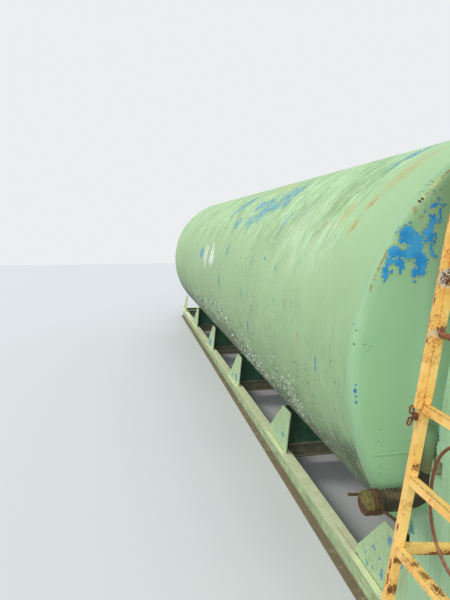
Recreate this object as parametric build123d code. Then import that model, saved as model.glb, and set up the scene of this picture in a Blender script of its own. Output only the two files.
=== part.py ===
from build123d import *
from math import cos, radians, sin, sqrt, tan
import os

os.makedirs("parts", exist_ok=True)

# Driving dimensions, mm. X runs across the skid, Y along the tank, Z up from the ground.
# Shapes are drawn about the middle of the tank, with the ladder end at -Y. They are saved
# with the origin on the ground under the middle of the near end beam.
tank_diameter = 2900
tank_length = 10360
shell_plate = 8
head_plate = 10
knuckle_radius = 50
head_skirt = 25
seam_height = 1348
seam_width = 14
seam_rise = 3
gap = 0.3

# Skid and saddles.
bay_length = 1945
rail_gauge = 2090
rail_depth = 250
rail_width = 125
rail_web = 8
rail_flange = 11
cross_depth = 150
cross_width = 100
cross_web = 6
cross_flange = 8
saddle_lift = 116
saddle_count = 5
first_wing_inset = 15
far_overhang = 1145
last_wing_inset = 790
web_setback = 240
web_height = 436
pad_plate = 8
pad_width = 240
pad_inset = 99
rib_x = 520
rib_plate = 10
wing_length = 620
wing_height = 440
wing_top = 250
first_wing_length = 645
first_wing_top = 340
wing_toe = 65
wing_plate = 12
wing_lean = 5.7

# Pump shelter.
doubler_width = 50
doubler_plate = 8
doubler_reach = 981
deck_plate = 6
wall_plate = 6
wall_top = 3150
wall_inset = 25
wall_edge_high = 260
wall_edge_slope = 700
wall_rail_size = (35, 40)
post_size = 75
post_wall = 5
roof_plate = 6
fascia_depth = 130
cleat_leg = 66
cleat_out = 34
cleat_plate = 6
cleat_hole = 9
cleat_hole_share = 0.6

# Ladder.
tube = 38
tube_wall = 3
strut_size = 38
ladder_lean = 7.9
ladder_foot = 400
ladder_top = 4150
ladder_clear = 400
ladder_ahead = 571
ladder_stand = 539.6
rung_first = 535
rung_spacing = 325
rung_count = 9
round_rung = 5
round_rung_r = 14
bar_size = 25
bar_low = 1444
bar_short = 100
lug_out = 20
lug_tall = 32
lug_plate = 20
link_wide = 24
link_tall = 42
link_wire = 7
link_bite = 11
link_out = 7
link_lean = 10
lug_drop = 40

# Fill line.
fill_x = -993
fill_reach = 33.5
fill_stand = 82
fill_top = 1450
fill_joint = 1262
fill_low = 1110
fill_flange_r = 66
fill_flange = 14
pipe_r = 57
elbow_radius = 64
bend_radius = 145
rib_rise = 5
rib_width = 12
rib_pitch = 24
rib_number = 6
line_clear = 8
coupling_turn = 0
coupler_length = 60
collar_length = 48
collar_bevel = 6
neck_rise = 2
collar_rise = 8
pin_inset = 30
ear_out = 24
ear_root = 6
ear_plate = 8
lever_length = 100
lever_open = 75
lever_plate = 12
lever_eye_r = 10
lever_ring_r = 13
lever_hole_r = 8
lever_splay = 9
cap_length = 40
cap_rise = 3
cap_bevel = 8
cap_dish = 5

# Manway and vent.
manway_inset = 400
manway_r = 305
manway_rise = 130
flange_out = 45
flange_plate = 16
lid_plate = 18
boss_r = 60
boss_rise = 6
bolt_count = 12
bolt_r = 14
vent_x = 480
vent_r = 30
vent_wall = 4
vent_socket_r = 48
vent_socket_rise = 90
vent_rise = 420
vent_reach = 180
vent_drop = 170

# Bonding cable on the ladder.
cable_diameter = 14
clip_size = 26

# Sizes that follow from the ones above.
radius = tank_diameter / 2
tank_half = tank_length / 2
axis_z = rail_depth + saddle_lift + radius
head_depth = knuckle_radius + head_skirt
half_gauge = rail_gauge / 2
rail_inner = half_gauge - rail_width / 2
rail_outer = half_gauge + rail_width / 2
web_face = half_gauge - rail_web / 2
wall_outer = half_gauge + wall_plate / 2
wall_inner = half_gauge - wall_plate / 2
skid_half = tank_half + bay_length
end_y = skid_half - rail_width / 2
first_wing_y = -tank_half + first_wing_inset
last_wing_y = skid_half - last_wing_inset
saddle_pitch = (tank_length - first_wing_inset - far_overhang) / (saddle_count - 1)
wing_y = [first_wing_y + saddle_pitch * i for i in range(saddle_count)] + [last_wing_y]
wing_foot = half_gauge - wing_plate / 2
pad_reach = wing_foot - pad_inset
lean_rate = tan(radians(wing_lean))


def block(x0, x1, y0, y1, z0, z1):
    """Solid box between two corners."""
    size = (x1 - x0, y1 - y0, z1 - z0)
    centre = ((x0 + x1) / 2, (y0 + y1) / 2, (z0 + z1) / 2)
    return Pos(*centre) * Box(*size)


def drum(r, y0, y1, x=0, z=0):
    """Solid cylinder along Y."""
    return Pos(x, (y0 + y1) / 2, z) * Rot(90, 0, 0) * Cylinder(r, y1 - y0)


def drum_x(r, x0, x1, y, z):
    """Solid cylinder along X."""
    return Pos((x0 + x1) / 2, y, z) * Rot(0, 90, 0) * Cylinder(r, x1 - x0)


def turned_x(profile):
    """Body of revolution about the X axis from (x, radius) points."""
    return revolve(Polygon(*profile, align=None), Axis.X, 360)


def both_sides(shape):
    """A left-hand shape and its mirror image on the right."""
    return [shape, mirror(shape, Plane.YZ)]


def save(shape, name):
    export_step(Pos(0, end_y, 0) * shape, "parts/" + name + ".step")


def save_group(shapes, name):
    save(Compound(children=shapes), name)


# Shell and flanged flat heads.
def head_profile():
    """Half section of a head: x is the radius, y the depth behind the flat face."""
    k = knuckle_radius
    t = head_plate
    c = cos(radians(45))
    bend_x = radius - k
    edges = [
        Line((0, 0), (bend_x, 0)),
        ThreePointArc((bend_x, 0), (bend_x + k * c, k - k * c), (radius, k)),
        Line((radius, k), (radius, head_depth)),
        Line((radius, head_depth), (radius - t, head_depth)),
        Line((radius - t, head_depth), (radius - t, k)),
        Line((radius - t, k), (bend_x + (k - t) * c, k - (k - t) * c)),
        Line((bend_x + (k - t) * c, k - (k - t) * c), (bend_x, t)),
        Line((bend_x, t), (0, t)),
        Line((0, t), (0, 0)),
    ]
    return make_face(edges)


head_body = revolve(head_profile(), Axis.Y, 360)
seam_half = sqrt((radius - knuckle_radius) ** 2 - (axis_z - seam_height) ** 2) - seam_width
seam = block(-seam_half, seam_half, -tank_half - seam_rise, -tank_half + seam_rise, 0, seam_width)
near_head = Pos(0, -tank_half, axis_z) * head_body
near_head += Pos(0, 0, seam_height - seam_width / 2) * seam
far_head = Pos(0, tank_half, axis_z) * Rot(0, 0, 180) * head_body
save(near_head, "near_head")
save(far_head, "far_head")

shell_half = tank_half - head_depth
tank_shell = drum(radius, -shell_half, shell_half, 0, axis_z)
tank_shell -= drum(radius - shell_plate, -shell_half, shell_half, 0, axis_z)
save(tank_shell, "tank_shell")


# Skid: two rails, lighter cross beams flush with their tops, full-depth end beams.
def rail(x):
    half = rail_width / 2
    top = rail_depth - rail_flange
    body = block(x - half, x + half, -skid_half, skid_half, 0, rail_flange)
    body += block(x - half, x + half, -skid_half, skid_half, top, rail_depth)
    body += block(x - rail_web / 2, x + rail_web / 2, -skid_half, skid_half, rail_flange, top)
    return body


def cross_member(y, depth, width, web, flange):
    """I-beam between the rails, coped round their flanges."""
    bottom = rail_depth - depth
    reach = rail_inner if bottom < rail_flange else web_face
    low = max(bottom + flange, rail_flange)
    high = rail_depth - max(flange, rail_flange)
    y0, y1 = y - width / 2, y + width / 2
    body = block(-rail_inner, rail_inner, y0, y1, rail_depth - flange, rail_depth)
    body += block(-reach, reach, y0, y1, bottom, bottom + flange)
    body += block(-rail_inner, rail_inner, y - web / 2, y + web / 2, bottom + flange, rail_depth - flange)
    body += block(-web_face, web_face, y - web / 2, y + web / 2, low, high)
    return body


save(rail(-half_gauge), "skid_rail_left")
save(rail(half_gauge), "skid_rail_right")
for i, y in enumerate(wing_y):
    beam = cross_member(y + web_setback, cross_depth, cross_width, cross_web, cross_flange)
    save(beam, f"cross_beam_{i + 1}")
save(cross_member(-end_y, rail_depth, rail_width, rail_web, rail_flange), "end_beam_near")
save(cross_member(end_y, rail_depth, rail_width, rail_web, rail_flange), "end_beam_far")


# Saddles: a ribbed web plate across, a curved pad under the shell, and on each rail
# a tapered wing plate that leans in against the end of the web.
pad_inner = radius + gap
pad_outer = pad_inner + pad_plate


def saddle_web(y):
    web_y = y + web_setback
    top_reach = wing_foot - lean_rate * web_height
    points = [(-wing_foot, 0), (wing_foot, 0), (top_reach, web_height), (-top_reach, web_height)]
    plane = Plane(origin=(0, web_y + wing_plate / 2, rail_depth), x_dir=(1, 0, 0), z_dir=(0, -1, 0))
    body = extrude(plane * Polygon(*points, align=None), wing_plate)
    y0, y1 = web_y - cross_width / 2, web_y + cross_width / 2
    for x in (-rib_x, rib_x):
        body += block(x - rib_plate / 2, x + rib_plate / 2, y0, y1, rail_depth, rail_depth + web_height)
    return body - drum(pad_outer + gap, y0 - gap, y1 + gap, 0, axis_z)


def saddle_pad(y):
    y0 = y + web_setback - pad_width / 2
    y1 = y0 + pad_width
    pad = drum(pad_outer, y0, y1, 0, axis_z) - drum(pad_inner, y0, y1, 0, axis_z)
    return pad & block(-pad_reach, pad_reach, y0, y1, 0, axis_z)


def wing(y, length=wing_length, top=wing_top):
    """Left-hand wing: upright edge towards the ladder end, far edge tapering to a toe."""
    points = [
        (y, -wing_plate),
        (y + length, -wing_plate),
        (y + length, wing_toe),
        (y + top, wing_height),
        (y, wing_height),
    ]
    plate = extrude(Plane.YZ * Polygon(*points, align=None), -wing_plate)
    plate = Pos(-wing_foot, 0, rail_depth) * Rot(0, wing_lean, 0) * plate
    return plate - block(-rail_outer, 0, y - gap, y + length + gap, 0, rail_depth)


for i in range(saddle_count):
    save(saddle_web(wing_y[i]), f"saddle_web_{i + 1}")
save_group([saddle_pad(wing_y[i]) for i in range(saddle_count)], "saddle_pads")
wings = [both_sides(wing(wing_y[0], first_wing_length, first_wing_top))]
wings += [both_sides(wing(y)) for y in wing_y[1:]]
save_group([pair[0] for pair in wings], "wing_gussets_left")
save_group([pair[1] for pair in wings], "wing_gussets_right")

# Doublers on the outer half of each rail, at the ladder end.
doubler_x = -rail_outer + doubler_width
doubler_y = first_wing_y + doubler_reach
doubler = block(-rail_outer, doubler_x, -skid_half, doubler_y, rail_depth, rail_depth + doubler_plate)
for name, body in zip(("rail_doubler_left", "rail_doubler_right"), both_sides(doubler)):
    save(body, name)

# Pump shelter in front of the near head: deck, side walls, corner posts, roof. The far edge
# of each wall steps back where the fill line comes through.
fill_y = -tank_half - fill_stand
fill_end = -sqrt(radius ** 2 - (axis_z - fill_low) ** 2) - fill_reach
wall_near_y = -skid_half + wall_inset
wall_low_y = first_wing_y - first_wing_inset
edge_low_y = fill_y - pipe_r - rib_rise - line_clear
edge_high_y = first_wing_y - first_wing_inset - wall_edge_high
step_low = fill_low - pipe_r - rib_rise - line_clear
step_high = fill_joint - line_clear
deck_far_y = first_wing_y - 2 * first_wing_inset
deck_top = rail_depth + deck_plate
pump_deck = block(-wall_inner, wall_inner, -skid_half, deck_far_y, rail_depth, deck_top)
save(pump_deck, "pump_deck")


def wall():
    points = [
        (wall_near_y, rail_depth),
        (wall_low_y, rail_depth),
        (wall_low_y, step_low),
        (edge_low_y, step_low),
        (edge_low_y, step_high),
        (edge_high_y, step_high + wall_edge_slope),
        (edge_high_y, wall_top),
        (wall_near_y, wall_top),
    ]
    body = extrude(Plane.YZ.offset(-wall_outer) * Polygon(*points, align=None), wall_plate)
    out, rise = wall_rail_size
    rail_y = wall_near_y + post_size
    pitch = (wall_top - deck_top - rise) / 3
    for i in (1, 2, 3):
        z = deck_top + pitch * i
        body += block(-wall_inner, -wall_inner + out, rail_y, edge_high_y - out, z, z + rise)
    return body


def post():
    x0, x1 = -wall_inner, -wall_inner + post_size
    y0, y1 = wall_near_y, wall_near_y + post_size
    t = post_wall
    body = block(x0, x1, y0, y1, deck_top, wall_top)
    return body - block(x0 + t, x1 - t, y0 + t, y1 - t, deck_top, wall_top)


for name, body in zip(("shelter_wall_left", "shelter_wall_right"), both_sides(wall())):
    save(body, name)
for name, body in zip(("shelter_post_left", "shelter_post_right"), both_sides(post())):
    save(body, name)
fascia_low = wall_top - fascia_depth
roof_top = wall_top + roof_plate
near_fascia = block(-wall_outer, wall_outer, -skid_half, -skid_half + roof_plate, fascia_low, wall_top)
far_fascia = block(-wall_inner, wall_inner, edge_high_y - roof_plate, edge_high_y, fascia_low, wall_top)
shelter_roof = block(-wall_outer, wall_outer, -skid_half, edge_high_y, wall_top, roof_top)
save(shelter_roof + near_fascia + far_fascia, "shelter_roof")

# Angle cleat on the left wall, above the fill line, with a bolt hole in each leg.
cleat_z = fill_joint + cleat_leg
cleat_y1 = edge_low_y - cleat_out
cleat_y0 = cleat_y1 - cleat_leg
wall_leg = block(-wall_outer - cleat_plate, -wall_outer, cleat_y0, cleat_y1, cleat_z, cleat_z + cleat_leg)
shelf_leg = block(-wall_outer - cleat_out, -wall_outer, cleat_y0, cleat_y1, cleat_z, cleat_z + cleat_plate)
hole_y = (cleat_y0 + cleat_y1) / 2
wall_cleat = wall_leg + shelf_leg
hole_x = -wall_outer - cleat_out * cleat_hole_share
hole_z = cleat_z + cleat_leg * cleat_hole_share
wall_cleat -= drum_x(cleat_hole, -wall_outer - cleat_plate, -wall_outer, hole_y, hole_z)
wall_cleat -= Pos(hole_x, hole_y, cleat_z) * Cylinder(cleat_hole, 3 * cleat_plate)
save(wall_cleat, "wall_cleat")

# Ladder leaning against the shelter wall. It is built upright, then leaned and placed.
ladder_foot_x = -half_gauge - ladder_stand
place = Pos(ladder_foot_x, 0, ladder_foot) * Rot(0, ladder_lean, 0)
slope = cos(radians(ladder_lean))
stile_length = (ladder_top - ladder_foot) / slope
far_stile_y = -tank_half - ladder_ahead
near_stile_y = far_stile_y - ladder_clear - tube
half = tube / 2
bore = half - tube_wall


def stile(y):
    body = block(-half, half, y - half, y + half, 0, stile_length)
    return body - block(-bore, bore, y - bore, y + bore, 0, stile_length)


save(place * stile(far_stile_y), "ladder_stile_far")
save(place * stile(near_stile_y), "ladder_stile_near")
rung_y0 = near_stile_y + half
rung_y1 = far_stile_y - half
rungs = []
for i in range(rung_count):
    z = (rung_first + rung_spacing * i - ladder_foot) / slope
    if i == round_rung:
        save(place * drum(round_rung_r, rung_y0, rung_y1, 0, z), "ladder_round_rung")
    else:
        body = block(-half, half, rung_y0, rung_y1, z - half, z + half)
        body -= block(-bore, bore, rung_y0, rung_y1, z - bore, z + bore)
        rungs.append(place * body)
save_group(rungs, "ladder_rungs")

struts = []
strut_half = strut_size / 2
strut_bore = strut_half - tube_wall
strut_blank = 2 * ladder_stand
beyond_wall = block(-wall_outer, strut_blank, -skid_half, 0, 0, ladder_top)
for y in (far_stile_y, near_stile_y):
    for step in (0, 2, 7):
        z = (rung_first + rung_spacing * step - ladder_foot) / slope
        body = block(half, strut_blank, y - strut_half, y + strut_half, z - strut_half, z + strut_half)
        body -= block(half, strut_blank, y - strut_bore, y + strut_bore, z - strut_bore, z + strut_bore)
        struts.append(place * body - beyond_wall)
save_group(struts, "ladder_struts")

bar_y0, bar_y1 = far_stile_y - bar_size / 2, far_stile_y + bar_size / 2
side_bar = block(-half - bar_size, -half, bar_y0, bar_y1, bar_low, stile_length - bar_short)
save(place * side_bar, "ladder_side_bar")

# Old chain links rusted fast to a lug on the far stile, one above it and one below.
lug_z = bar_low - lug_drop
lug_y = far_stile_y + half - lug_plate / 2
lug_x = -half - lug_out
link_y = far_stile_y + bar_size / 2 + gap + link_wire / 2


def link(z, lean):
    """Chain link standing in the XZ plane beside the lug."""
    outline = SlotOverall(link_tall, link_wide, rotation=90) - SlotOverall(
        link_tall - 2 * link_wire, link_wide - 2 * link_wire, rotation=90
    )
    ring = extrude(Plane.XZ * outline, link_wire / 2, both=True)
    return Pos(lug_x - link_out, link_y, z) * Rot(0, lean, 0) * ring


link_step = (lug_tall + link_tall) / 2 - link_bite
lug = Pos((lug_x - half) / 2, lug_y, lug_z) * Box(lug_out, lug_plate, lug_tall)
lug = chamfer(lug.edges().filter_by(Axis.Y).group_by(Axis.X)[0], lug_out / 4)
lug += [link(lug_z + link_step, -link_lean), link(lug_z - link_step, link_lean)]
save(place * lug, "ladder_lug")

# Fill line: flanged steel elbow on the head, ribbed rubber hose down and out past the shell,
# cam coupling with two levers, and a cap.
flange_y = -tank_half - fill_flange
elbow_path = FilletPolyline(
    (fill_x, flange_y, fill_top),
    (fill_x, fill_y, fill_top),
    (fill_x, fill_y, fill_joint),
    radius=elbow_radius,
)
elbow_start = Plane(origin=elbow_path @ 0, z_dir=elbow_path % 0)
fill_elbow = sweep(elbow_start * Circle(pipe_r), path=elbow_path)
fill_elbow += drum(fill_flange_r, flange_y, -tank_half, fill_x, fill_top)
save(fill_elbow, "fill_elbow")

hose_path = FilletPolyline(
    (fill_x, fill_y, fill_joint),
    (fill_x, fill_y, fill_low),
    (fill_end, fill_y, fill_low),
    radius=bend_radius,
)
hose_start = Plane(origin=hose_path @ 0, z_dir=hose_path % 0)
hose = sweep(hose_start * Circle(pipe_r), path=hose_path)
rib_base = pipe_r - rib_rise
rib_crest = pipe_r + rib_rise
for i in range(rib_number):
    x0 = rib_pitch * i + rib_width / 2
    x1 = x0 + rib_width
    rib = [(x0, rib_base), (x1, rib_base), (x1, pipe_r), ((x0 + x1) / 2, rib_crest), (x0, pipe_r)]
    hose += Pos(fill_end, fill_y, fill_low) * turned_x(rib)
save(hose, "fill_hose")

neck_r = rib_crest + neck_rise
collar_r = rib_crest + collar_rise
coupler_profile = [
    (0, 0),
    (0, neck_r),
    (-collar_bevel, collar_r),
    (collar_bevel - collar_length, collar_r),
    (-collar_length, neck_r),
    (-coupler_length, neck_r),
    (-coupler_length, 0),
]
coupler = turned_x(coupler_profile)
ear_y = collar_r + ear_out / 2
ear_tall = ear_out + ear_root
ear_z = lever_plate / 2 + gap + ear_plate / 2
for side in (-1, 1):
    for cheek in (-1, 1):
        ear = Box(ear_out, ear_tall, ear_plate)
        coupler += Pos(-pin_inset, side * (ear_y - ear_root / 2), cheek * ear_z) * ear
fill_place = Pos(fill_end, fill_y, fill_low) * Rot(coupling_turn, 0, 0)
save(fill_place * coupler, "fill_coupler")


def cam_lever(side, turn):
    """Lever between two ears of the coupling, with a pull ring, turned away from the hose."""
    tip = Pos(lever_length, 0, 0)
    lever = Cylinder(lever_eye_r, lever_plate)
    lever += Pos(lever_length / 2, 0, 0) * Box(lever_length, ear_out / 2, lever_plate)
    lever -= tip * Cylinder(lever_hole_r, lever_plate)
    lever += tip * (Cylinder(lever_ring_r, lever_plate / 2) - Cylinder(lever_hole_r, lever_plate / 2))
    return Pos(-pin_inset, side * ear_y, 0) * Rot(0, 0, side * turn) * lever


# The near lever hangs open towards the ladder, the far one lies along the cap.
lever_turns = ((-1, lever_open), (1, 180 - lever_splay))
save_group([fill_place * cam_lever(side, turn) for side, turn in lever_turns], "cam_levers")
cap_r = neck_r + cap_rise
cap_end = coupler_length + cap_length
cap_profile = [
    (-coupler_length, 0),
    (-coupler_length, cap_r),
    (cap_bevel - cap_end, cap_r),
    (-cap_end, cap_r - cap_bevel),
    (-cap_end, cap_r - 2 * cap_bevel),
    (cap_dish - cap_end, cap_r - 2 * cap_bevel - cap_dish),
    (cap_dish - cap_end, 0),
]
save(fill_place * turned_x(cap_profile), "fill_cap")

# Manway and vent on top, close to the ladder.
manway_y = -tank_half + manway_inset
shell_top = axis_z + radius
manway_top = shell_top + manway_rise
neck_low = shell_top - manway_rise
neck_half = (manway_top - neck_low) / 2
neck_plate = shell_plate
flange_r = manway_r + flange_out
neck = Cylinder(manway_r, 2 * neck_half) - Cylinder(manway_r - neck_plate, 2 * neck_half)
ring = Cylinder(flange_r, flange_plate) - Cylinder(manway_r - neck_plate, flange_plate)
neck += Pos(0, 0, neck_half - flange_plate / 2) * ring
neck = Pos(0, manway_y, manway_top - neck_half) * neck
neck -= drum(radius + gap, manway_y - 2 * manway_r, manway_y + 2 * manway_r, 0, axis_z)
save(neck, "manway_neck")
lid = Pos(0, manway_y, manway_top + lid_plate / 2) * Cylinder(flange_r, lid_plate)
lid += Pos(0, manway_y, manway_top + lid_plate + boss_rise / 2) * Cylinder(boss_r, boss_rise)
save(lid, "manway_lid")
bolts = []
for i in range(bolt_count):
    spot = Rot(0, 0, 360 / bolt_count * (i + 0.5)) * Pos(manway_r + flange_out / 2, 0, 0)
    bolts.append(Pos(0, manway_y, manway_top + lid_plate) * spot * extrude(RegularPolygon(bolt_r, 6), bolt_r))
save_group(bolts, "manway_bolts")

vent_foot = axis_z + sqrt(radius ** 2 - vent_x ** 2)
vent_top = vent_foot + vent_rise
vent_end = vent_x + vent_reach
vent_path = FilletPolyline(
    (vent_x, manway_y, vent_foot - vent_r * 2),
    (vent_x, manway_y, vent_top),
    (vent_end, manway_y, vent_top),
    (vent_end, manway_y, vent_top - vent_drop),
    radius=vent_reach * 0.45,
)
vent_start = Plane(origin=vent_path @ 0, z_dir=vent_path % 0)
vent = sweep(vent_start * Circle(vent_r), path=vent_path)
vent += Pos(vent_x, manway_y, vent_foot + vent_r) * Cylinder(vent_socket_r, vent_socket_rise)
vent -= drum(radius + gap, manway_y - 3 * vent_r, manway_y + 3 * vent_r, 0, axis_z)
vent -= Pos(vent_end, manway_y, vent_top - vent_drop) * Cylinder(vent_r - vent_wall, vent_drop / 2)
save(vent, "vent_pipe")

# Bonding cable: a loose bight between two clips on the inner side of the near stile. Its
# first and last runs are square to the clips. Points are measured from the ladder's foot,
# the near stile's clip face and the ground.
clip_half = clip_size / 2
cable_y = near_stile_y + clip_half
cable_points = [
    (239.6, 0, 1765),
    (239.6, 96, 1765),
    (238.6, 191, 1755),
    (236.6, 281, 1722),
    (234.6, 348, 1650),
    (233.6, 382, 1560),
    (233.6, 393, 1465),
    (232.6, 386, 1375),
    (227.6, 350, 1294),
    (215.6, 284, 1246),
    (190.6, 194, 1238),
    (164.6, 100, 1250),
    (164.6, 0, 1250),
]
cable_route = [(ladder_foot_x + x, cable_y + y, z) for x, y, z in cable_points]


def clip(x, z):
    """Block on the near stile that holds a cable end, x from the ladder's foot."""
    rise = z - ladder_foot
    lean = radians(ladder_lean)
    along_x = x * cos(lean) - rise * sin(lean)
    along_z = x * sin(lean) + rise * cos(lean)
    y0, y1 = near_stile_y - clip_half, near_stile_y + clip_half
    return place * block(half, along_x + clip_half, y0, y1, along_z - clip_half, along_z + clip_half)


save_group([clip(x, z) for x, y, z in (cable_points[0], cable_points[-1])], "cable_clips")


def route_radii(points):
    """The largest arc that each corner of the route has room for."""
    vectors = [Vector(*p) for p in points]
    radii = []
    for a, b, c in zip(vectors, vectors[1:], vectors[2:]):
        turn = radians((b - a).get_angle(c - b))
        radii.append(0.45 * min((b - a).length, (c - b).length) / tan(turn / 2))
    return radii


cable_radii = route_radii(cable_route)
cable_path = FilletPolyline(*cable_route, radius=cable_radii)
cable_plane = Plane(origin=cable_path @ 0, z_dir=cable_path % 0)
cable = sweep(cable_plane * Circle(cable_diameter / 2), path=cable_path)
print("bonding cable length", round(cable_path.length), "radii", [round(r) for r in cable_radii])
save(cable, "bonding_cable")
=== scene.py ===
# %% [markdown]
# # A diesel fuel tank on a skid
# The real object is a steel cylinder about ten metres long, painted pale green over an older
# blue coat. It lies on five saddles, on a skid of rolled beams, with a yellow ladder, a small
# shelter and a fill hose at one end. The CAD model already holds every plate and tube at its
# true size, so this file adds only what CAD leaves out: the finish of each surface, the loose
# cable, the weld beads, the peeling paint and the light to see them by.

# %% Load the frame
import math
import random

import bmesh
import bpy
from mathutils import Matrix, Vector, noise


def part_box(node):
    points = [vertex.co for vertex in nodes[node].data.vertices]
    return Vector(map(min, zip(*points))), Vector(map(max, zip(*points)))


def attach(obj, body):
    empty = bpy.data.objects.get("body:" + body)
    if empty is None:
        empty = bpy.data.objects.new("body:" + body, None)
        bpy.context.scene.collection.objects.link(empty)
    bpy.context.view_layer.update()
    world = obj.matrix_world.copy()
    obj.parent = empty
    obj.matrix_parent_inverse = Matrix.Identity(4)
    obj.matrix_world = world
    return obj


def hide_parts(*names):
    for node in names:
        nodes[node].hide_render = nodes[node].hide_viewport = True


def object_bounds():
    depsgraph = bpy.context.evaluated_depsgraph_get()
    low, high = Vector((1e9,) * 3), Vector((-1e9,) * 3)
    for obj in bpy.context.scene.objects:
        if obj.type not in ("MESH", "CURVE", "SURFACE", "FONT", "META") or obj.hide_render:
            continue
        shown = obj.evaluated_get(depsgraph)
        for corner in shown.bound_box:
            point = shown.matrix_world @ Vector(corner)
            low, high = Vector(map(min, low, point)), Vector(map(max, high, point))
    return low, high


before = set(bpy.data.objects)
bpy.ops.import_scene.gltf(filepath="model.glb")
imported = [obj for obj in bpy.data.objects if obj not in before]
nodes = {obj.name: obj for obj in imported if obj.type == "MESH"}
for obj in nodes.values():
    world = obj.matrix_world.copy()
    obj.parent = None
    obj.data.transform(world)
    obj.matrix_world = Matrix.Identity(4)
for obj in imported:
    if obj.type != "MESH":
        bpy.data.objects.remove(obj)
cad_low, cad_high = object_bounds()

print(len(nodes), "nodes, from", [round(v, 3) for v in cad_low], "to", [round(v, 3) for v in cad_high])

# %% [markdown]
# ## The camera
# It stands near the ladder end, a little higher than the middle of the tank, and looks along
# it. The place and the lens come from fitting a pinhole camera to the shell's outline. The
# picture is upright, so the sensor's height is what the lens is measured against.

# %% Place the camera
eye = Vector((-2.621, -0.5385, 2.600))
ahead = Vector((0.1884, 0.9717, -0.1425)).normalized()
right = Vector((0.9817, -0.1903, 0.0)).normalized()
up = right.cross(ahead)
lens = 29.706
sensor = 36

camera_data = bpy.data.cameras.new("camera")
camera_data.sensor_fit = "VERTICAL"
camera_data.sensor_height = sensor
camera_data.lens = lens
camera_data.clip_end = 200
camera = bpy.data.objects.new("camera", camera_data)
bpy.context.scene.collection.objects.link(camera)
camera.matrix_world = Matrix((
    (right.x, up.x, -ahead.x, eye.x),
    (right.y, up.y, -ahead.y, eye.y),
    (right.z, up.z, -ahead.z, eye.z),
    (0, 0, 0, 1),
))
bpy.context.scene.camera = camera
print("the camera looks along", [round(v, 3) for v in ahead])

# %% [markdown]
# ## The bonding cable
# A copper cable hangs in a loose bight between two clips on the near stile of the ladder. A
# cable has one smooth centreline, so it is one NURBS curve through a few chosen points. Each
# point carries the cable's radius, and the bevel is 1 so that this radius is the real one. The
# order is set once the points are there, because Blender lowers it on a curve still short.

# %% Hang the cable
cable_route = [
    (-1.345, 0.8865, 1.765),
    (-1.345, 0.9825, 1.765),
    (-1.346, 1.0775, 1.755),
    (-1.348, 1.1675, 1.722),
    (-1.350, 1.2345, 1.650),
    (-1.351, 1.2685, 1.560),
    (-1.351, 1.2795, 1.465),
    (-1.352, 1.2725, 1.375),
    (-1.357, 1.2365, 1.294),
    (-1.369, 1.1705, 1.246),
    (-1.394, 1.0805, 1.238),
    (-1.420, 0.9865, 1.250),
    (-1.420, 0.8865, 1.250),
]
cable_thick = 0.014

cable_curve = bpy.data.curves.new("bonding_cable_line", "CURVE")
cable_curve.dimensions = "3D"
cable_curve.resolution_u = 8
cable_curve.bevel_depth = 1.0
cable_curve.bevel_resolution = 3
cable_curve.use_fill_caps = True
line = cable_curve.splines.new("NURBS")
line.points.add(len(cable_route) - 1)
for point, spot in zip(line.points, cable_route):
    point.co = (*spot, 1)
    point.radius = cable_thick / 2
line.order_u = 3
line.use_endpoint_u = True
cable = bpy.data.objects.new("bonding_cable_line", cable_curve)
bpy.context.scene.collection.objects.link(cable)
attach(cable, "root")
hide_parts("bonding_cable")
print("cable points:", len(cable_route))

# %% [markdown]
# ## Light and floor
# The tank stands under a bright cloudy sky with a weak sun from its far left. A wide sun lamp
# and an even sky give that. A second weak lamp from the ladder end lifts the head, which the
# sun doesn't reach. The floor shows pale to the camera, but it sends little light back up, as
# bare ground does, so that the underside of the shell goes dark.

# %% Sky and lamps
key_towards = Vector((-1.0, 0.62, 0.95))
key_strength = 1.20
key_spread = math.radians(24)
fill_towards = Vector((-0.30, -1.0, 0.45))
fill_strength = 2.30
fill_spread = math.radians(70)
sky_strength = 0.80


def lamp(name, towards, strength, spread, colour):
    """A sun lamp that shines from the given direction."""
    data = bpy.data.lights.new(name, "SUN")
    data.energy = strength
    data.angle = spread
    data.color = colour
    made = bpy.data.objects.new(name, data)
    made.rotation_euler = towards.to_track_quat("Z", "Y").to_euler()
    bpy.context.scene.collection.objects.link(made)


lamp("sun", key_towards, key_strength, key_spread, (1.0, 0.97, 0.91))
lamp("fill", fill_towards, fill_strength, fill_spread, (0.93, 0.97, 1.0))
bpy.context.scene.view_settings.view_transform = "Standard"
print("lamps:", key_strength, "and", fill_strength, "sky:", sky_strength)


# %% [markdown]
# ## Short ways to build a finish
# Every finish is a tree of shader nodes. A few small functions add the nodes, so that a finish
# reads like a recipe: a base colour, then layers, each with a mask that says where it shows.
# Colours are given as on a paint card, from 0 to 255, and turned into the linear values that
# Blender mixes.

# %% Add a node
def add(tree, kind, inputs=(), **settings):
    """A new node. Each input is a number, a colour or the output of another node."""
    made = tree.nodes.new("ShaderNode" + kind)
    for name, value in settings.items():
        setattr(made, name, value)
    for key, value in dict(inputs).items():
        if isinstance(value, bpy.types.NodeSocket):
            tree.links.new(value, made.inputs[key])
        else:
            made.inputs[key].default_value = value
    return made


def tint(red, green, blue):
    """A paint card colour as linear values."""
    parts = []
    for value in (red, green, blue):
        share = value / 255
        parts.append(share / 12.92 if share < 0.04045 else ((share + 0.055) / 1.055) ** 2.4)
    return (*parts, 1)


print("pale green is", [round(v, 3) for v in tint(168, 204, 157)])


# %% Sums, steps and layers
def calc(tree, operation, *terms):
    """One sum on numbers."""
    return add(tree, "Math", dict(enumerate(terms)), operation=operation).outputs[0]


def step(tree, value, low, high, start=0, end=1):
    """A soft step: start where value is low, end where it is high."""
    inputs = {"Value": value, "From Min": low, "From Max": high, "To Min": start, "To Max": end}
    return add(tree, "MapRange", inputs, interpolation_type="SMOOTHSTEP").outputs[0]


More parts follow.
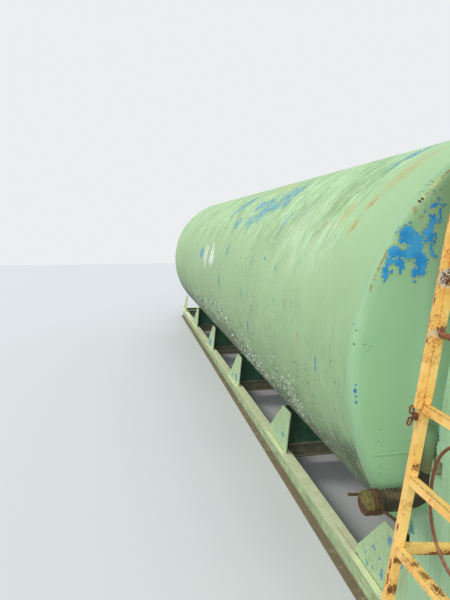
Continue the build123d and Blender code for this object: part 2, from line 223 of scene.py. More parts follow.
def combine(tree, operation, masks):
    """The masks taken together, two at a time."""
    out = masks[0]
    for mask in masks[1:]:
        out = calc(tree, operation, out, mask)
    return out


def both(tree, *masks):
    """Where all the masks hold. A number among them sets how strong the rest is."""
    return combine(tree, "MULTIPLY", masks)


def either(tree, *masks):
    """Where any of the masks holds."""
    return combine(tree, "MAXIMUM", masks)


def beats(tree, mask, share, limit):
    """1 where the mask times the share is above the limit."""
    return calc(tree, "GREATER_THAN", calc(tree, "MULTIPLY", mask, share), limit)


def layer(tree, under, over, *masks):
    """The over colour on the under colour, where all the masks hold."""
    made = add(tree, "Mix", {0: both(tree, *masks), 6: under, 7: over}, data_type="RGBA")
    return made.outputs[2]


print("made calc, step, both, either, beats and layer")


# %% Places and noise
def place(tree):
    """The point on the object, in metres."""
    return add(tree, "TexCoord").outputs["Object"]


def split(tree, vector):
    """The three parts of a vector."""
    return add(tree, "SeparateXYZ", {0: vector}).outputs


def join(tree, x, y, z=0.0):
    """A vector from its parts."""
    return add(tree, "CombineXYZ", {0: x, 1: y, 2: z}).outputs[0]


def side_on(tree, vector):
    """The point as seen from the side of the tank: metres along it and metres up."""
    return join(tree, *split(tree, vector)[1:3])


def stretch(tree, vector, scale):
    """The point with each direction scaled, for grain that runs one way."""
    return add(tree, "VectorMath", {0: vector, 1: scale}, operation="MULTIPLY").outputs[0]


def cloud(tree, vector, scale, detail, roughness=0.55, distortion=0.0):
    """Soft noise from 0 to 1, with about scale bumps in a metre."""
    inputs = {"Vector": vector, "Scale": scale, "Detail": detail, "Roughness": roughness,
              "Distortion": distortion}
    return add(tree, "TexNoise", inputs).outputs[0]


def cells(tree, vector, scale):
    """Scattered spots: the distance to the nearest one, and a random number for each."""
    made = add(tree, "TexVoronoi", {"Vector": vector, "Scale": scale})
    return made.outputs["Distance"], split(tree, made.outputs["Color"])[0]


def facing_up(tree):
    """1 on faces that look up, where dust lies and rain stands."""
    return step(tree, split(tree, add(tree, "NewGeometry").outputs["Normal"])[2], 0.35, 0.8)


def edges(tree, reach):
    """1 along edges, where paint wears off first."""
    turned = add(tree, "Bevel", {"Radius": reach}, samples=4).outputs[0]
    flat = add(tree, "NewGeometry").outputs["Normal"]
    alike = add(tree, "VectorMath", {0: turned, 1: flat}, operation="DOT_PRODUCT").outputs["Value"]
    return step(tree, alike, 0.995, 0.86)


print("made place, split, join, side_on, stretch, cloud, cells, facing_up and edges")


# %% Marks from lists
def nearest_mark(tree, vector, marks):
    """Distance to the nearest listed mark: 0 at its middle and 1 at its edge. A mark is
    a middle (two places), a half length and a half width, and a turn in degrees."""
    nearest = None
    for u, v, half_u, half_v, turn in marks:
        inputs = {"Vector": vector, "Location": (u, v, 0), "Scale": (half_u, half_v, 1),
                  "Rotation": (0, 0, math.radians(turn))}
        inside = add(tree, "Mapping", inputs, vector_type="TEXTURE").outputs[0]
        away = add(tree, "VectorMath", {0: inside}, operation="LENGTH").outputs["Value"]
        nearest = away if nearest is None else calc(tree, "MINIMUM", nearest, away)
    return nearest


def ragged(tree, vector, marks, grain, roughness):
    """A mask inside the marks, with an edge torn by the grain noise."""
    distance = nearest_mark(tree, vector, marks)
    torn = calc(tree, "MULTIPLY_ADD", grain, roughness, -roughness / 2)
    return step(tree, calc(tree, "ADD", distance, torn), 1.04, 0.96)


def flaked(tree, vector, scale):
    """The middle of the flake that the point lies in, so that torn edges turn angular."""
    return add(tree, "TexVoronoi", {"Vector": vector, "Scale": scale}).outputs["Position"]


def soft(tree, vector, marks, low=1.5, high=0.2):
    """A mask that fades out from the middle of the marks."""
    return step(tree, nearest_mark(tree, vector, marks), low, high)


print("made nearest_mark, ragged, flaked and soft")


# %% Start and end a finish
def new_finish(name):
    """A material and its empty recipe."""
    made = bpy.data.materials.new(name)
    made.use_nodes = True
    return made, made.node_tree


def close_finish(made, colour, roughness, height, relief, metallic=None):
    """Joins the layers to the shader. Height is from 0 to 1 and relief is in metres."""
    tree = made.node_tree
    shader = tree.nodes["Principled BSDF"]
    tree.links.new(colour, shader.inputs["Base Color"])
    tree.links.new(roughness, shader.inputs["Roughness"])
    if metallic is not None:
        tree.links.new(metallic, shader.inputs["Metallic"])
    bump = add(tree, "Bump", {"Strength": 1.0, "Distance": relief, "Height": height})
    tree.links.new(bump.outputs[0], shader.inputs["Normal"])
    print(made.name, "has", len(tree.nodes), "shader nodes")
    return made


def dress(finish, *names):
    """Gives CAD nodes their finish, and leaves their meshes alone."""
    for name in names:
        slots = nodes[name].data.materials
        slots.clear()
        slots.append(finish)


print("made new_finish, close_finish and dress")


# %% [markdown]
# ## The floor and the sky
# Light Path tells a finish what kind of ray asks for its colour. Rays from the camera, and
# those by way of gloss or glass, get a pale floor and a pale sky. The rays that only carry
# light see ground of a middle grey, and a sky of a plain blue-grey.

# %% Floor and sky
def seen_ray(tree):
    """1 for rays that show a background, and 0 for rays that only carry light."""
    path = add(tree, "LightPath").outputs
    names = ("Is Camera Ray", "Is Glossy Ray", "Is Transmission Ray")
    return either(tree, *(path[name] for name in names))


ground_size = 60
ground_drop = 0.001
ground_mesh = bpy.data.meshes.new("floor")
ground = bmesh.new()
bmesh.ops.create_grid(ground, x_segments=1, y_segments=1, size=ground_size / 2)
ground.to_mesh(ground_mesh)
ground.free()
floor = bpy.data.objects.new("floor", ground_mesh)
floor.location = (0, cad_high.y / 2, -ground_drop)
bpy.context.scene.collection.objects.link(floor)
floor_finish, tree = new_finish("floor_plain")
floor_colour = layer(tree, tint(100, 96, 88), tint(214, 214, 212), seen_ray(tree))
floor_shader = tree.nodes["Principled BSDF"]
tree.links.new(floor_colour, floor_shader.inputs["Base Color"])
floor_shader.inputs["Roughness"].default_value = 0.9
floor_shader.inputs["Specular IOR Level"].default_value = 0.1
ground_mesh.materials.append(floor_finish)

sky = bpy.data.worlds.new("sky")
sky.use_nodes = True
bpy.context.scene.world = sky
tree = sky.node_tree
shown = seen_ray(tree)
backdrop = tree.nodes["Background"]
tree.links.new(layer(tree, tint(222, 232, 243), tint(236, 238, 240), shown), backdrop.inputs["Color"])
tree.links.new(step(tree, shown, 0, 1, sky_strength, 1), backdrop.inputs["Strength"])
print("floor", ground_size, "m wide")

# %% [markdown]
# ## The shell's paint
# The paint on the shell is the largest surface in the picture. It is a chalky pale green that
# has weathered in bands round the tank: rain runs round a cylinder, never along it. So the
# finish works on the unrolled shell, with metres round it from the top and metres along it.
# Noise that is stretched round gives the bands. Chips, scrapes and rust stains that stand out
# in the picture are listed marks, with edges torn by noise.

# %% Unroll the shell
shell_low, shell_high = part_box("tank_shell")
shell_radius = (shell_high.x - shell_low.x) / 2
axis_high = (shell_high.z + shell_low.z) / 2
head_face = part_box("near_head")[0].y


def unrolled(tree):
    """Metres round the shell from its top (the left side is below 0), and metres along it."""
    x, along, z = split(tree, place(tree))
    rise = calc(tree, "SUBTRACT", z, axis_high)
    turn = calc(tree, "ARCTAN2", x, rise)
    return calc(tree, "MULTIPLY", turn, shell_radius), along


def round_grain(tree, around, along, share):
    """The unrolled point with its way round scaled down, for grain that runs round the tank."""
    return join(tree, calc(tree, "MULTIPLY", around, share), along)


print("shell radius", round(shell_radius, 3), "axis height", round(axis_high, 3))

# %% Tones of the shell
pale_green = tint(167, 203, 151)
deep_green = tint(157, 191, 140)
chalk_green = tint(190, 222, 168)
moss_green = tint(136, 168, 110)
far_green = tint(144, 178, 126)
ochre = tint(180, 160, 84)
rust_orange = tint(168, 112, 40)
scraped = tint(226, 228, 216)
low_dark_green = tint(58, 74, 42)
print("grime is", [round(v, 3) for v in low_dark_green])

# %% Marks on the shell: round, along, half sizes, turn
blue_streaks = [
    (-1.06, 6.85, 0.10, 0.05, 0), (-0.98, 6.62, 0.12, 0.05, 0), (-0.92, 6.45, 0.08, 0.04, 0),
    (-1.08, 5.55, 0.05, 0.12, 0), (-1.04, 5.22, 0.05, 0.10, 0), (-1.20, 5.05, 0.09, 0.11, 0),
    (-1.13, 4.76, 0.05, 0.13, 0), (-1.10, 4.50, 0.05, 0.09, 0), (-0.97, 4.72, 0.10, 0.09, 0),
    (-0.91, 4.52, 0.06, 0.09, 0), (-1.34, 5.42, 0.05, 0.13, 0), (-1.37, 6.03, 0.05, 0.09, 0),
    (-1.41, 3.93, 0.10, 0.016, 0), (-0.62, 2.72, 0.13, 0.034, 0), (-0.84, 2.71, 0.04, 0.02, 0),
]
blue_chips = [
    (-2.19, 5.97, 0.06, 0.04, 20), (-1.76, 5.80, 0.06, 0.04, 0), (-1.82, 4.41, 0.05, 0.015, 0),
    (-1.76, 3.99, 0.015, 0.03, 0), (-1.83, 3.58, 0.03, 0.015, 0), (-2.19, 4.61, 0.05, 0.016, 0),
    (-2.39, 4.57, 0.02, 0.014, 0), (-2.48, 4.36, 0.045, 0.026, 0), (-2.37, 2.43, 0.055, 0.009, 0),
    (-2.28, 2.18, 0.010, 0.008, 0), (1.9, 3.1, 0.05, 0.02, 0), (2.2, 6.4, 0.07, 0.03, 10),
    (1.6, 9.2, 0.06, 0.05, 0), (2.4, 8.1, 0.04, 0.02, 0), (1.1, 4.9, 0.08, 0.04, 0),
]
ochre_stains = [
    (-0.98, 2.38, 0.20, 0.10, 0), (-0.80, 2.36, 0.12, 0.06, 0), (-1.22, 2.43, 0.09, 0.05, 0),
    (-1.43, 2.44, 0.08, 0.04, 0), (-1.31, 2.68, 0.10, 0.06, 0), (-1.42, 2.90, 0.03, 0.04, 0),
    (0.9, 2.6, 0.2, 0.06, 0), (-0.65, 5.6, 0.20, 0.30, 0),
]
rust_spots = [(-1.24, 2.41, 0.06, 0.022, 0), (-1.43, 2.43, 0.05, 0.014, 0)]
orange_chips = [(-2.26, 2.78, 0.034, 0.010, 0), (-2.23, 2.775, 0.012, 0.008, 0)]
white_scrapes = [
    (-1.93, 7.28, 0.16, 0.050, 8), (-1.90, 7.45, 0.13, 0.040, -5), (-1.88, 6.90, 0.15, 0.055, 6),
    (-1.90, 6.74, 0.14, 0.060, -4), (-1.94, 6.62, 0.08, 0.030, 0),
]
blue_strip = [(-1.89, 7.85, 0.09, 0.11, 0)]
scuffed = [(-1.60, 2.87, 0.22, 0.24, 0), (-1.72, 3.25, 0.14, 0.12, 0), (-1.45, 3.5, 0.3, 0.2, 0)]
dark_smears = [
    (-1.30, 3.6, 0.22, 0.30, 0), (-1.08, 3.0, 0.25, 0.10, 0), (-1.5, 4.0, 0.2, 0.3, 0),
    (-2.6, 10.4, 0.3, 0.9, 0),
]
wrinkle_patches = [
    (-2.02, 3.05, 0.12, 0.22, 0), (-2.06, 2.86, 0.08, 0.12, 0), (-2.18, 3.38, 0.10, 0.22, 0),
    (-2.32, 3.60, 0.12, 0.16, 0), (-1.98, 4.40, 0.15, 0.50, 0), (-2.22, 4.25, 0.18, 0.40, 0),
    (2.20, 5.00, 0.30, 0.90, 0),
]
dark_lines = [
    (-1.05, 2.77, 0.20, 0.010, -30), (-0.80, 3.10, 0.18, 0.008, 0), (-1.05, 4.4, 0.25, 0.010, 0),
]
flake_patches = [
    (-2.85, 4.6, 0.16, 0.35, 0), (-3.0, 5.1, 0.16, 0.4, 0), (-2.80, 3.30, 0.14, 0.28, 0),
    (-2.95, 3.15, 0.14, 0.25, 0), (-2.66, 5.7, 0.14, 0.40, 0), (-2.60, 6.4, 0.12, 0.4, 0),
    (-2.95, 4.3, 0.14, 0.30, 0), (-2.75, 8.0, 0.20, 0.8, 0), (2.80, 4.5, 0.20, 1.2, 0),
    (2.70, 8.5, 0.20, 0.9, 0),
]
shell_marks = (
    blue_streaks, blue_chips, ochre_stains, rust_spots, orange_chips, white_scrapes, blue_strip,
    scuffed, dark_smears, wrinkle_patches, dark_lines, flake_patches,
)
print("marks on the shell:", sum(map(len, shell_marks)))


# %% Weathered green for the round of the tank
def bands(tree, around, along, colour):
    """Light and dark streaks round the upper shell, as rain leaves them. It gives the colour and
    the thin streaks, which the layers after it use too."""
    side = calc(tree, "ABSOLUTE", around)
    where = both(tree, step(tree, side, 2.10, 1.30), step(tree, along, 2.30, 2.80))
    wide = cloud(tree, round_grain(tree, around, along, 0.5), 2.4, 5, 0.62, 0.3)
    long = cloud(tree, round_grain(tree, around, along, 0.10), 30.0, 4, 0.68)
    short = cloud(tree, round_grain(tree, around, along, 0.22), 62.0, 4, 0.7)
    thin = calc(tree, "MULTIPLY_ADD", calc(tree, "SUBTRACT", short, 0.5), 0.8, long)
    light = both(tree, where, step(tree, thin, 0.49, 0.62), step(tree, wide, 0.35, 0.55, 0.45, 0.9))
    dark = both(tree, where, step(tree, thin, 0.50, 0.38), step(tree, wide, 0.60, 0.40, 0.35, 0.85))
    mossy = both(tree, where, step(tree, wide, 0.52, 0.38), 0.75)
    colour = layer(tree, colour, moss_green, mossy)
    colour = layer(tree, colour, chalk_green, light)
    return layer(tree, colour, tint(112, 152, 92), dark), thin


def runs_and_dark_belly(tree, around, along, colour, thin):
    """Thin runs of dirt on the side, and the shell turning darker towards the belly."""
    side = calc(tree, "ABSOLUTE", around)
    runs = both(tree, step(tree, side, 1.5, 2.4), step(tree, thin, 0.50, 0.62))
    colour = layer(tree, colour, tint(126, 154, 118), calc(tree, "MULTIPLY", runs, 0.38))
    belly_noise = cloud(tree, join(tree, around, along), 3.0, 6, 0.65)
    depth = calc(tree, "ADD", side, step(tree, belly_noise, 0.3, 0.7, -0.22, 0.22))
    colour = layer(tree, colour, tint(114, 142, 94), step(tree, depth, 2.2, 3.1, 0, 0.35))
    depth = calc(tree, "ADD", depth, step(tree, along, 3.0, 6.0, 0, 0.08))
    return layer(tree, colour, low_dark_green, step(tree, depth, 2.72, 3.12, 0, 0.95))


print("made bands and runs_and_dark_belly")


# %% Flaked and wrinkled paint
def crowd_mask(tree, around, along, flat):
    """Where the paint of the lower side has flaked: in patches, most of all near the belly."""
    side = calc(tree, "ABSOLUTE", around)
    patchy = cloud(tree, flat, 2.6, 5, 0.7)
    low = both(tree, step(tree, side, 2.3, 2.9), step(tree, patchy, 0.50, 0.62, 0.08, 0.6))
    placed = both(tree, soft(tree, flat, flake_patches, 1.6, 0.2), step(tree, patchy, 0.38, 0.55))
    odd = both(tree, step(tree, side, 1.5, 1.9), step(tree, along, 2.8, 3.6), 0.012)
    return either(tree, low, placed, odd)


def wrinkled(tree, around, along, flat, colour):
    """Patches on the side where the coats have shrunk into short wrinkles, and a yellower tone.
    It gives the colour and the raised folds."""
    side = calc(tree, "ABSOLUTE", around)
    patchy = cloud(tree, flat, 3.0, 4, 0.65)
    spread = both(tree, step(tree, patchy, 0.52, 0.62), step(tree, side, 1.35, 1.75),
                  step(tree, along, 2.8, 3.6), 0.7)
    where = either(tree, spread, soft(tree, flat, wrinkle_patches, 1.3, 0.6))
    fold = cloud(tree, stretch(tree, flat, (0.8, 1.3, 1)), 34.0, 3, 0.62, 1.6)
    mottle = both(tree, step(tree, cloud(tree, flat, 6.0, 5, 0.7), 0.46, 0.60), step(tree, side, 0.9, 1.4),
                  step(tree, along, 2.0, 2.7), 0.30)
    colour = layer(tree, colour, tint(176, 196, 138), mottle)
    colour = layer(tree, colour, tint(104, 136, 92), where, step(tree, fold, 0.455, 0.405), 0.50)
    light = both(tree, where, step(tree, fold, 0.56, 0.61))
    return layer(tree, colour, tint(190, 218, 168), light, 0.40), light


print("made crowd_mask and wrinkled")


# %% Marks and flecks
def hand_marks(tree, flat, colour, fine):
    """The marks of the lists above, put on layer by layer."""
    around, along = split(tree, flat)[0:2]
    brushed = cloud(tree, round_grain(tree, around, along, 0.35), 42.0, 5, 0.75)
    grain = cloud(tree, round_grain(tree, around, along, 0.4), 34.0, 5, 0.72)
    smear = both(tree, soft(tree, flat, dark_smears), step(tree, grain, 0.35, 0.65), 0.65)
    colour = layer(tree, colour, tint(124, 156, 108), smear)
    drawn = both(tree, ragged(tree, flat, dark_lines, grain, 0.9), 0.6)
    colour = layer(tree, colour, tint(96, 124, 88), drawn)
    mottle = cloud(tree, flat, 52.0, 4, 0.75)
    stains = both(tree, soft(tree, flat, ochre_stains), step(tree, brushed, 0.40, 0.54, 0.1, 1),
                  step(tree, mottle, 0.42, 0.56, 0.35, 1))
    colour = layer(tree, colour, ochre, stains, 0.95)
    rusty = both(tree, soft(tree, flat, rust_spots), step(tree, brushed, 0.40, 0.54))
    colour = layer(tree, colour, rust_orange, rusty, 0.85)
    orange = ragged(tree, flat, orange_chips, fine, 1.4)
    colour = layer(tree, colour, tint(210, 140, 50), orange, 0.85)
    scuff = both(tree, soft(tree, flat, scuffed), step(tree, fine, 0.53, 0.60, 0, 0.8))
    return layer(tree, colour, scraped, scuff)


def flecked(tree, vector, far_off, scales, crowd, share, uneven):
    """Small spots where the crowd mask is high: fine ones near by, and coarse ones far off."""
    shown = []
    for scale in scales:
        spot, luck = cells(tree, vector, scale)
        lucky = beats(tree, crowd, share, luck)
        shown.append(both(tree, lucky, step(tree, calc(tree, "ADD", spot, uneven), 0.46, 0.38)))
    near_by = both(tree, shown[0], calc(tree, "SUBTRACT", 1.0, far_off))
    return either(tree, near_by, both(tree, shown[1], far_off))


print("made hand_marks and flecked")


# %% The paint of the shell
def shell_finish(name):
    """Bands, dirt runs and a darker belly first, then the marks, and the flecks of flaked paint on top:
    pale ones, and dark ones that are partly rust where the paint came off and partly painted shadow under
    the flakes.
    """
    made, tree = new_finish(name)
    around, along = unrolled(tree)
    flat = join(tree, around, along)
    tone = cloud(tree, flat, 0.7, 5)
    colour = layer(tree, deep_green, pale_green, step(tree, tone, 0.35, 0.65))
    colour = layer(tree, colour, far_green, step(tree, along, 2.9, 5.0, 0, 0.45))
    colour, thin = bands(tree, around, along, colour)
    colour = runs_and_dark_belly(tree, around, along, colour, thin)
    colour, folds = wrinkled(tree, around, along, flat, colour)
    fine = cloud(tree, flat, 85.0, 4, 0.7)
    height = calc(tree, "MULTIPLY_ADD", fine, 0.12, calc(tree, "MULTIPLY", thin, 0.35))
    height = calc(tree, "MULTIPLY_ADD", folds, 0.5, height)
    colour = hand_marks(tree, flat, colour, fine)
    crowd = crowd_mask(tree, around, along, flat)
    uneven = step(tree, fine, 0.3, 0.7, -0.25, 0.25)
    far_off = step(tree, along, 3.7, 4.1)
    flecks = flecked(tree, flat, far_off, (75.0, 44.0), crowd, 0.42, uneven)
    longer = stretch(tree, flat, (1, 0.8, 1))
    # dark flecks: partly rust where the paint came off, partly painted shadow under the lifted flakes
    dark_flecks = flecked(tree, longer, far_off, (62.0, 36.0), crowd, 0.60, uneven)
    colour = layer(tree, colour, tint(50, 64, 42), dark_flecks, 0.85)
    colour = layer(tree, colour, tint(222, 234, 206), flecks, 0.85)
    height = calc(tree, "MULTIPLY_ADD", flecks, 0.9, height)
    height = calc(tree, "SUBTRACT", height, calc(tree, "MULTIPLY", dark_flecks, 0.7))
    rough = step(tree, fine, 0.2, 0.8, 0.46, 0.66)
    return close_finish(made, colour, rough, height, relief=0.0016)


dress(shell_finish("shell_green"), "tank_shell")

# %% [markdown]
# ## The heads
# The near head is a flat plate, so its finish works on the plate itself: metres across and
# metres up. On the rim, where the plate turns into the shell, rust has come through in a thin
# line. A large patch of green has flaked off near the top and shows the older blue coat. It
# gets pieces of its own further down, because its torn outline needs many marks.

# %% Marks on the near head: across, up, half sizes, turn
blue_patch = [
    (-1.167, 2.578, 0.047, 0.037, 0), (-1.124, 2.535, 0.053, 0.043, 0), (-1.182, 2.541, 0.035, 0.021, 0),
    (-1.103, 2.487, 0.053, 0.054, 0), (-1.155, 2.466, 0.047, 0.027, 0), (-1.075, 2.422, 0.036, 0.049, 0),
    (-1.084, 2.374, 0.036, 0.027, 0), (-1.113, 2.364, 0.015, 0.022, 0), (-1.237, 2.478, 0.035, 0.032, 0),
    (-1.201, 2.467, 0.023, 0.032, 0), (-1.252, 2.435, 0.029, 0.021, 0), (-1.205, 2.424, 0.029, 0.021, 0),
    (-1.186, 2.402, 0.015, 0.016, 0), (-1.199, 2.376, 0.007, 0.022, 0), (-1.284, 2.377, 0.017, 0.027, 0),
    (-1.282, 2.350, 0.019, 0.016, 0), (-1.287, 2.324, 0.006, 0.008, 0), (-1.268, 2.409, 0.017, 0.021, 0),
    (-1.246, 2.374, 0.009, 0.010, 0), (-1.044, 2.577, 0.036, 0.027, 0), (-1.030, 2.551, 0.018, 0.021, 0),
    (-1.053, 2.535, 0.018, 0.008, 0), (-1.029, 2.620, 0.015, 0.027, 0), (-1.013, 2.651, 0.021, 0.026, 0),
    (-1.038, 2.667, 0.009, 0.011, 0), (-0.979, 2.683, 0.009, 0.032, 0), (-0.983, 2.646, 0.012, 0.016, 0),
    (-1.023, 2.720, 0.024, 0.009, 25), (-0.965, 2.726, 0.015, 0.008, 0), (-0.995, 2.733, 0.012, 0.005, 0),
    (-0.996, 2.757, 0.006, 0.013, 0), (-1.001, 2.561, 0.009, 0.019, 0), (-1.005, 2.529, 0.007, 0.013, 0),
    (-1.021, 2.503, 0.008, 0.022, 0), (-1.013, 2.470, 0.012, 0.016, 0), (-0.991, 2.451, 0.012, 0.008, 0),
    (-1.153, 2.630, 0.006, 0.005, 0), (-1.069, 2.693, 0.007, 0.006, 0), (-1.108, 2.320, 0.008, 0.009, 0),
]
green_islands = [
    (-1.183, 2.501, 0.020, 0.013, 20), (-1.229, 2.440, 0.013, 0.006, 0), (-1.259, 2.398, 0.010, 0.009, 0),
    (-1.092, 2.588, 0.007, 0.021, 15), (-1.059, 2.487, 0.014, 0.021, 0), (-0.999, 2.709, 0.018, 0.008, 25),
    (-0.993, 2.667, 0.006, 0.016, 0), (-1.045, 2.508, 0.012, 0.006, 0),
]
rust_dabs = [(-1.090, 2.662, 0.012, 0.009, 0), (-1.122, 2.698, 0.010, 0.022, 0)]
dark_dabs = [(-0.988, 2.804, 0.005, 0.005, 0), (-1.031, 2.433, 0.006, 0.005, 0)]
# elbow_shade is painted shade on the head round the fill elbow
elbow_shade = [(-0.955, 1.480, 0.055, 0.075, 0)]
pitted = [(-1.264, 1.237, 0.040, 0.038, 0), (-1.02, 2.80, 0.10, 0.05, -40)]
rim_rust = [
    (-0.945, 2.894, 0.045, 0.040, 0), (-1.290, 2.440, 0.040, 0.055, 0), (-1.322, 2.370, 0.030, 0.050, 0),
    (-1.356, 2.286, 0.014, 0.026, 0), (-1.06, 2.785, 0.012, 0.012, 0),
]
rim_ochre = [(-1.030, 2.810, 0.12, 0.11, 0)]
rim_chips = [(-1.094, 2.744, 0.007, 0.008, 0), (-1.080, 2.757, 0.007, 0.007, 0)]
rim_dots = [(-1.430, 2.056, 0.012, 0.007, 0), (-1.4405, 1.980, 0.012, 0.010, 0)]
face_cracks = [
    (-1.345, 1.966, 0.018, 0.0025, 0), (-1.381, 1.981, 0.014, 0.003, 0), (-1.362, 1.948, 0.008, 0.003, 0),
]
rim_blue = [
    (-1.430, 2.085, 0.006, 0.008, 0), (-1.424, 1.722, 0.007, 0.014, 0), (-1.419, 1.690, 0.005, 0.007, 0),
    (-1.416, 1.655, 0.005, 0.010, 0), (-1.423, 1.755, 0.004, 0.006, 0),
]
head_marks = (
    blue_patch, green_islands, rust_dabs, dark_dabs, elbow_shade, pitted, rim_rust, rim_ochre, rim_chips,
    rim_dots, face_cracks, rim_blue,
)
print("marks on the head:", sum(map(len, head_marks)))


# %% Wear at the rim
rim_out = 1.4335          # from the axis to the middle of the bend
rim_dot_depth = 0.026     # behind the head's face
seam_high = 1.341
shadow_drop = 0.012       # from the seam down to the middle of the painted shadow under it


def rim_wear(tree, flat, out, colour):
    """Rust, bare primer and chips along the bend at the rim."""
    on_rim = calc(tree, "ABSOLUTE", calc(tree, "SUBTRACT", out, rim_out))
    streak = cloud(tree, flat, 48.0, 4, 0.7)
    pale = both(tree, step(tree, on_rim, 0.011, 0.004), soft(tree, flat, rim_ochre, 1.2, 0.6),
                step(tree, streak, 0.40, 0.54))
    colour = layer(tree, colour, tint(214, 206, 130), pale, 0.75)
    rusty = both(tree, step(tree, on_rim, 0.0055, 0.0020), soft(tree, flat, rim_rust, 1.2, 0.8),
                 step(tree, streak, 0.38, 0.50))
    colour = layer(tree, colour, tint(150, 108, 52), rusty, 0.85)
    near_rim = step(tree, on_rim, 0.020, 0.012)
    torn = cloud(tree, flat, 200.0, 3, 0.7)
    colour = layer(tree, colour, tint(40, 112, 176), near_rim, ragged(tree, flat, rim_blue, torn, 3.0))
    chip = ragged(tree, flat, rim_chips, torn, 2.6)
    return layer(tree, colour, tint(58, 34, 22), near_rim, chip)


print("the rim bends", rim_out, "m out, and the seam is", seam_high, "m up")


# %% Paint for a head
def head_finish(name, with_marks):
    """Two greens, runs of dirt and a darker tone low down, painted shade on the flat face and the upper
    bend, a painted shadow under the seam, and pits, with or without the marks.
    """
    made, tree = new_finish(name)
    x, along, z = split(tree, place(tree))
    flat = join(tree, x, z)
    rise = calc(tree, "SUBTRACT", z, axis_high)
    squares = calc(tree, "ADD", calc(tree, "MULTIPLY", x, x), calc(tree, "MULTIPLY", rise, rise))
    out = calc(tree, "SQRT", squares)
    tone = cloud(tree, flat, 1.1, 5)
    colour = layer(tree, tint(156, 197, 150), tint(166, 206, 159), step(tree, tone, 0.35, 0.65))
    fine = cloud(tree, flat, 95.0, 4, 0.7)
    runs = cloud(tree, join(tree, x, calc(tree, "MULTIPLY", z, 0.06)), 34.0, 3)
    # painted shade: the flat face a little darker and bluer than the rim, as on a head in shade
    inside = step(tree, out, 1.440, 1.430)
    colour = layer(tree, colour, tint(142, 182, 136), inside, 0.20)
    # painted shade: the upper part of the rim's bend is darkened, to damp the highlight the lamps put there
    bend = both(tree, step(tree, out, 1.405, 1.425), step(tree, z, 2.0, 2.3), 0.65)
    colour = layer(tree, colour, tint(146, 180, 134), bend)
    mottled = cloud(tree, flat, 120.0, 4, 0.75)
    stained = both(tree, inside, step(tree, z, 2.20, 2.75), step(tree, mottled, 0.42, 0.58, 0.35, 1))
    colour = layer(tree, colour, tint(158, 184, 132), stained, 0.75)
    low = both(tree, step(tree, z, 1.9, 0.6), step(tree, runs, 0.42, 0.72))
    colour = layer(tree, colour, tint(128, 158, 122), low, 0.30)
    # darker towards the bottom of the head
    colour = layer(tree, colour, low_dark_green, step(tree, z, 1.1, 0.4, 0, 0.6))
    height = calc(tree, "MULTIPLY", fine, 0.14)
    if with_marks:
        colour = rim_wear(tree, flat, out, colour)
        for dabs, shade in ((rust_dabs, tint(150, 128, 74)), (dark_dabs, tint(62, 80, 66))):
            dab = ragged(tree, flat, dabs, fine, 1.3)
            colour = layer(tree, colour, shade, dab, 0.6)
        from_dots = calc(tree, "ABSOLUTE", calc(tree, "SUBTRACT", along, head_face + rim_dot_depth))
        dots = both(tree, step(tree, from_dots, 0.008, 0.004), soft(tree, flat, rim_dots, 1.1, 0.7))
        cracks = both(tree, soft(tree, flat, face_cracks, 1.1, 0.7), 0.6)
        colour = layer(tree, colour, tint(64, 56, 38), either(tree, dots, cracks), 0.85)
        # painted shade: a darker patch on the head round the fill elbow
        shaded_near_elbow = both(tree, soft(tree, flat, elbow_shade, 1.2, 0.6), 0.75)
        colour = layer(tree, colour, tint(104, 134, 92), shaded_near_elbow)
        crowd = soft(tree, flat, pitted, 1.3, 0.4)
    else:
        crowd = 0.0
    # painted shadow: a dark line on the head's face just under the seam bead
    seam = calc(tree, "SUBTRACT", z, seam_high)
    seam_shadow = step(tree, calc(tree, "ABSOLUTE", calc(tree, "ADD", seam, shadow_drop)), 0.009, 0.003)
    on_face = step(tree, along, head_face + 0.004, head_face + 0.0005)
    colour = layer(tree, colour, tint(84, 106, 78), seam_shadow, on_face, 0.55)
    spot, chance = cells(tree, flat, 22.0)
    pits = both(tree, step(tree, spot, 0.14, 0.09), step(tree, chance, 0.90, 0.93))
    small, luck = cells(tree, flat, 90.0)
    crowded = both(tree, beats(tree, crowd, 0.45, luck), step(tree, small, 0.45, 0.35))
    pits = either(tree, pits, crowded)
    colour = layer(tree, colour, tint(86, 112, 86), pits, 0.6)
    height = calc(tree, "SUBTRACT", height, calc(tree, "MULTIPLY", pits, 0.6))
    rough = step(tree, fine, 0.2, 0.8, 0.54, 0.70)
    return close_finish(made, colour, rough, height, relief=0.0012)


dress(head_finish("near_head_green", True), "near_head")
dress(head_finish("far_head_green", False), "far_head")


# %% [markdown]
# ## Skid, saddles and shelter
# Beams and plates wear in the same way: paint goes first along the edges, dust lies on what
# faces up, and rust comes through where water stands. So one recipe serves them all, with the
# colour and the amounts given for each. The Bevel node finds the edges: it tells how much the
# surface turns within a few millimetres of a point.

# %% One recipe for painted steel
beam_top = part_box("skid_rail_left")[1].z


